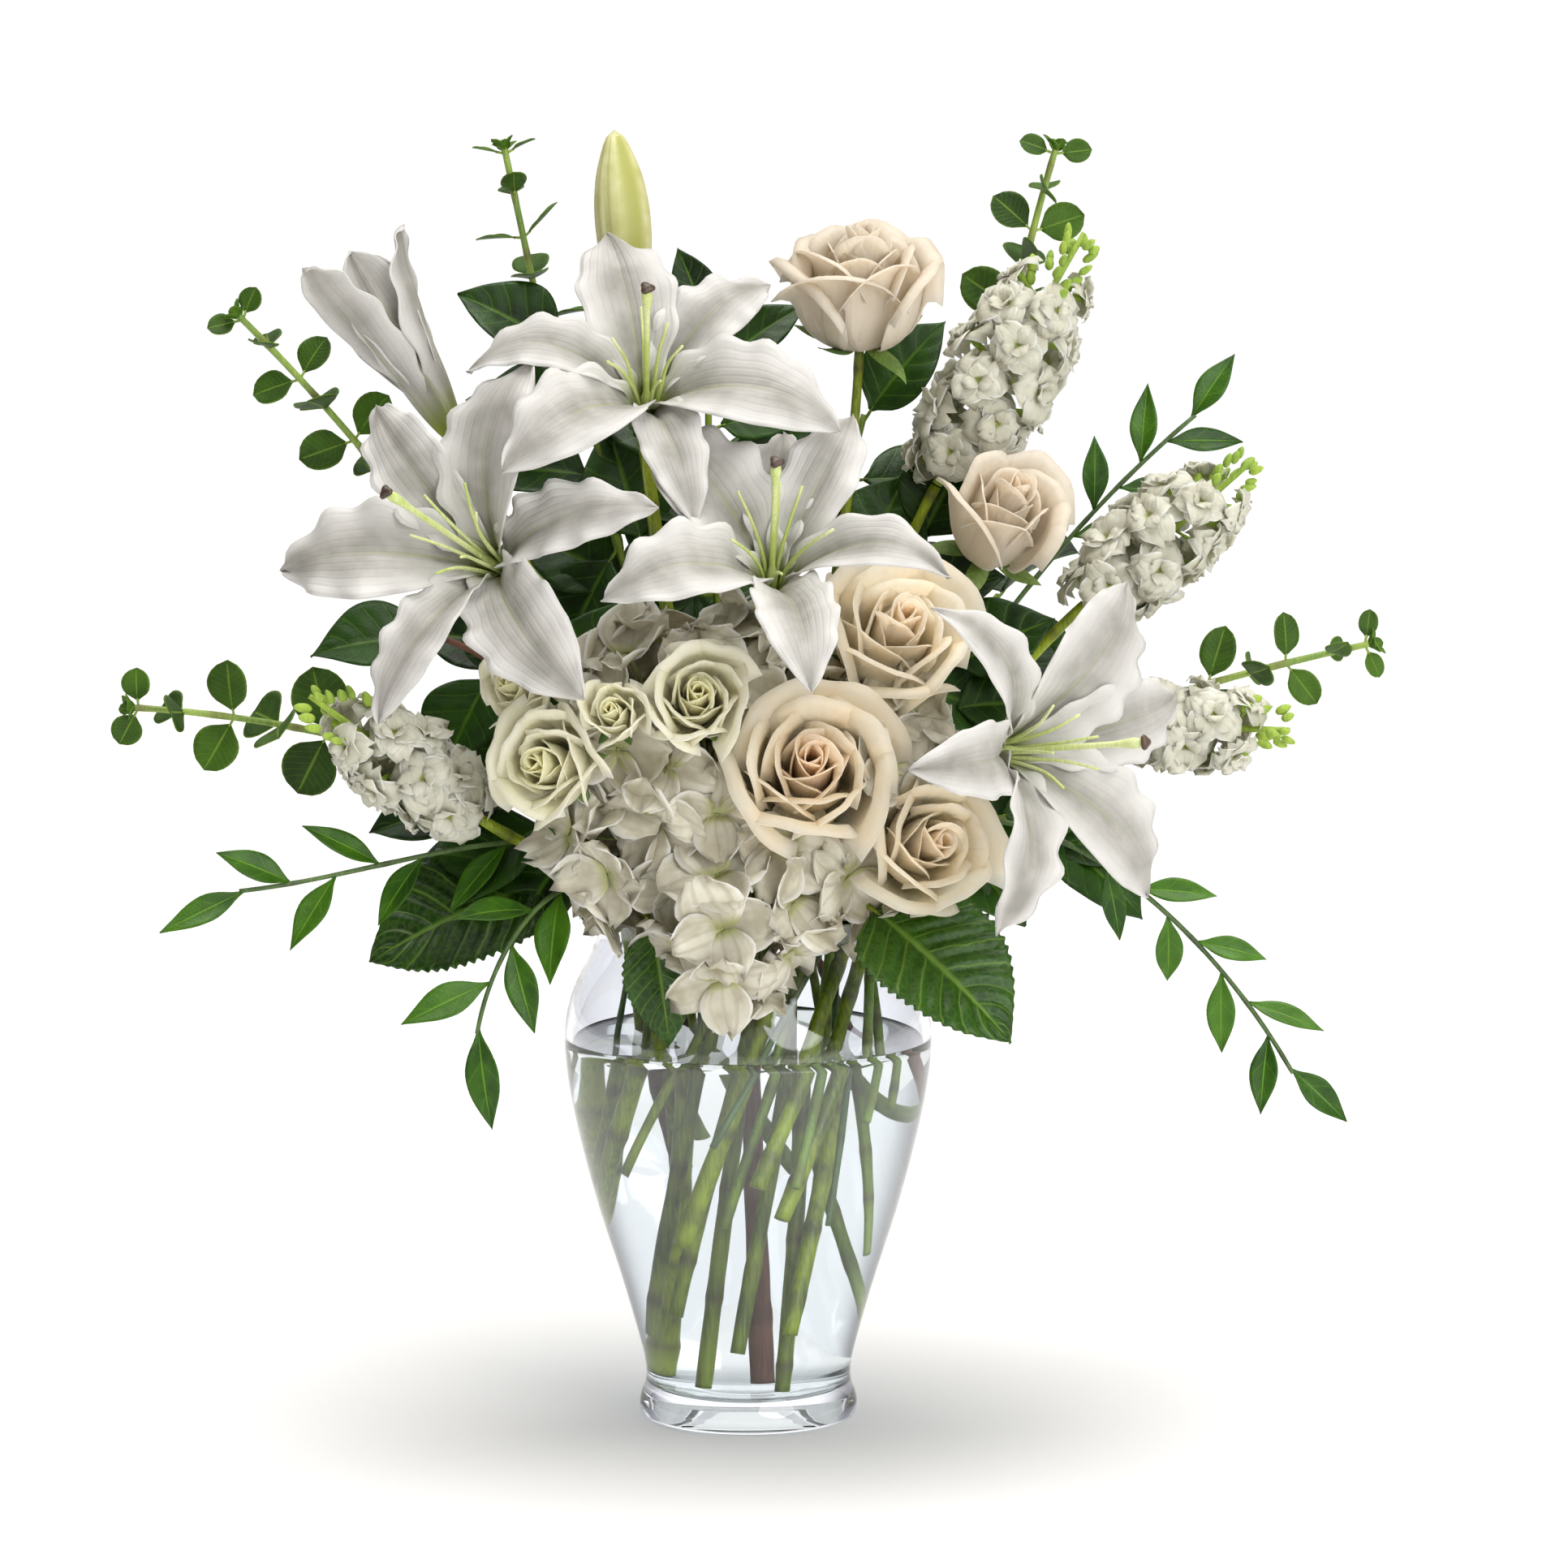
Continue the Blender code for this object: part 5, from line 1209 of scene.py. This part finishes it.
# Leaves on longer side twigs, which close the gaps between the flowers: (foot of the leaf, clock, forward, length,
# width).
SALAL_GAPS = {
    "salal_top_left": (
        ((-0.056, 0.030, 0.372), -60, 0, 0.062, 0.044), ((-0.048, 0.022, 0.392), -15, 5, 0.060, 0.042),
        ((-0.064, 0.036, 0.400), 40, 0, 0.056, 0.040),
    ),
    "salal_top": (
        ((-0.010, 0.034, 0.388), -40, 0, 0.062, 0.044), ((0.000, 0.030, 0.402), 35, 0, 0.060, 0.042),
        ((-0.030, 0.020, 0.352), -95, 5, 0.060, 0.044),
    ),
    "salal_upper_right": (
        ((0.050, 0.030, 0.372), 20, 5, 0.060, 0.044), ((0.062, 0.020, 0.360), 70, 5, 0.062, 0.046),
        ((0.078, 0.026, 0.392), 25, 0, 0.056, 0.040), ((0.092, 0.008, 0.336), 60, 8, 0.056, 0.042),
    ),
    "salal_left": (
        ((-0.098, 0.010, 0.340), -70, 0, 0.060, 0.044), ((-0.090, -0.020, 0.268), -118, 10, 0.072, 0.048),
        ((-0.098, -0.012, 0.292), -95, 5, 0.070, 0.046), ((-0.076, -0.034, 0.262), -142, 12, 0.060, 0.042),
        ((-0.106, -0.006, 0.278), -98, 0, 0.074, 0.046), ((-0.100, 0.004, 0.256), -114, 0, 0.076, 0.048),
    ),
    "salal_right": (
        ((0.092, -0.004, 0.318), 80, 5, 0.058, 0.044), ((0.086, -0.018, 0.286), 125, 5, 0.064, 0.046),
        ((0.078, -0.034, 0.266), 158, 8, 0.060, 0.044), ((0.120, -0.012, 0.274), 105, 5, 0.074, 0.046),
        ((0.072, 0.004, 0.326), 100, 5, 0.058, 0.048), ((0.084, -0.022, 0.264), 130, 8, 0.064, 0.048),
    ),
}
broad_outline = outline_of(
    (0, 0.04), (0.05, 0.20), (0.14, 0.62), (0.28, 0.92), (0.42, 1.0), (0.60, 0.86), (0.80, 0.48), (0.93, 0.16), (1, 0.0)
)

# Salal leaves are leathery with a half-gloss: deep green, a light midrib, arching side veins and a slightly
# puckered blade. Young stems are green, and older ones are brown and woody.
salal_twig = stem_finish("salal twig, young", "#7C9424", "#526A16", "#4A4420", 0.50)
salal_green = leaf_finish("salal leaf, leathery", "#2C5409", "#0E2402", "#567C1E", "#214208", 0.38, 6, 0.35, coat=0.08)

OLD_WOOD = ("salal_left", "salal_back")
# No leaf grows lower than this, so that the water stays clear of them.
LOWEST_LEAF = 0.268

for number, (name, (tip, toward, rows)) in enumerate(SALAL.items()):
    luck = random.Random(240 + number)
    line, leaves, wood = sprig(name, number, tip, toward, 0.0010, 0.0023, 0.028)
    rows = list(rows)
    if "_back" in name:
        # The back of the bouquet is filled out with leaves further down the stem.
        rows += [
            (back, rows[0][1] + turn, forward, length, width)
            for back, turn, forward, length, width in (
                (0.016, 70, -30, 0.056, 0.038), (0.044, -75, -35, 0.056, 0.038),
                (0.070, 120, -30, 0.056, 0.038), (0.100, -130, -30, 0.054, 0.036),
            )
        ]
    # Leaves further down fill the dark middle of the bouquet.
    for k in range(10):
        turn = (60 + 35 * (k % 3)) * (1 if k % 2 else -1)
        rows.append((0.060 + 0.015 * k, toward[0] + turn, luck.uniform(-15, 15), 0.064, 0.045))
    places = []
    for back, clock, forward, *blade in rows:
        at, _ = along(line, back)
        if at.z > LOWEST_LEAF:
            places.append((at, at + from_front(clock, forward) * (0.12 * blade[0]), clock, forward, *blade))
    # A side twig leaves the stem a little below its leaf.
    knots = [along(line, 0.004 * k)[0] for k in range(5, 60)]
    for foot, *blade in SALAL_GAPS.get(name, ()):
        below = Vector(foot) - Vector((0, 0, 0.022))
        places.append((min(knots, key=lambda knot: (knot - below).length), Vector(foot), *blade))
    for at, root, clock, forward, length, width in places:
        direction = from_front(clock, forward)
        upper = Vector((direction.x * 0.4, -0.7 if forward > -30 else 0.7, 0.75))
        course = smooth_line([at, at.lerp(root, 0.5) - upper * 0.0006, root + direction * 0.002], 6)
        stalk(wood, course, [0.0011, 0.0009, 0.0008, 0.0008, 0.0007, 0.0006], 6)
        leaf(leaves, root, direction, upper, 0.90 * length, width * luck.uniform(0.95, 1.08), broad_outline,
             luck.uniform(0.2, 0.55), luck.uniform(0.15, 0.4), 0.02, 6, luck.random(), (14, 24))
    finished(name + "_leaves", leaves, salal_green, name, LEAF_THICK)
    finished(name + "_wood", wood, woody_brown if name in OLD_WOOD else salal_twig, name)

# -------------------------------- the hydrangea leaves
# Two big leaves of the hydrangea hang over the vase's lip on stalks of their own: broad, saw-edged
# and quilted between deep veins.

# name: (end of the stalk, its direction, leaf's clock and forward lean, length, width)
HYDRANGEA_LEAVES = {
    "hydrangea_leaf_right": ((0.050, -0.082, 0.243), (110, 30), (126, 22), 0.096, 0.070),
    "hydrangea_leaf_left": ((-0.082, -0.030, 0.247), (-100, 15), (-108, 6), 0.100, 0.076),
}
heart_outline = outline_of(
    (0, 0.08), (0.04, 0.40), (0.12, 0.78), (0.26, 0.98), (0.42, 1.0), (0.60, 0.84), (0.78, 0.54), (0.90, 0.27),
    (0.96, 0.12), (1, 0.0),
)

# Hydrangea leaves are soft and slightly rough: fresh dark green, with a light net of veins.
hydrangea_green = leaf_finish(
    "hydrangea leaf, quilted", "#2E5A08", "#143202", "#74983A", "#284C0A", 0.32, 8, 0.60, coat=0.15, net=0.14
)

for number, (name, (end, toward, (clock, forward), length, width)) in enumerate(HYDRANGEA_LEAVES.items()):
    line, leaves, petioles = sprig(name, number, end, toward, 0.0008, 0.0023, 0.060, 10)
    at, _ = along(line, 0.003)
    direction = from_front(clock, forward)
    upper = Vector((direction.x * 0.4, -0.7, 0.75))
    root = at + direction * (0.10 * length)
    course = smooth_line([at, at.lerp(root, 0.5), root + direction * 0.004], 6)
    stalk(petioles, course, [0.0017, 0.0016, 0.0015, 0.0014, 0.0012, 0.0009], 8)
    leaf(leaves, root, direction, upper, 0.88 * length, width, heart_outline, 0.30, 0.18, 0.018, 10,
         0.3 + 0.4 * number, (40, 110))
    if name == "hydrangea_leaf_left":
        # A young leaf on the same stalk hangs over the lip.
        foot = Vector((-0.040, -0.083, 0.230))
        over_lip = [at, at + Vector((0.018, -0.026, 0.006)), (-0.044, -0.078, 0.238), (-0.040, -0.083, 0.228)]
        stalk(petioles, smooth_line(over_lip, 14), [0.0012] * 14, 8)
        leaf(leaves, foot, from_front(172, -4), Vector((0.1, -1, 0.1)), 0.052, 0.032, heart_outline,
             0.10, 0.20, 0.018, 7, 0.55, (24, 60))
    finished(name + "_blade", leaves, hydrangea_green, name, LEAF_THICK)
    finished(name + "_petiole", petioles, rose_stem_green, name)
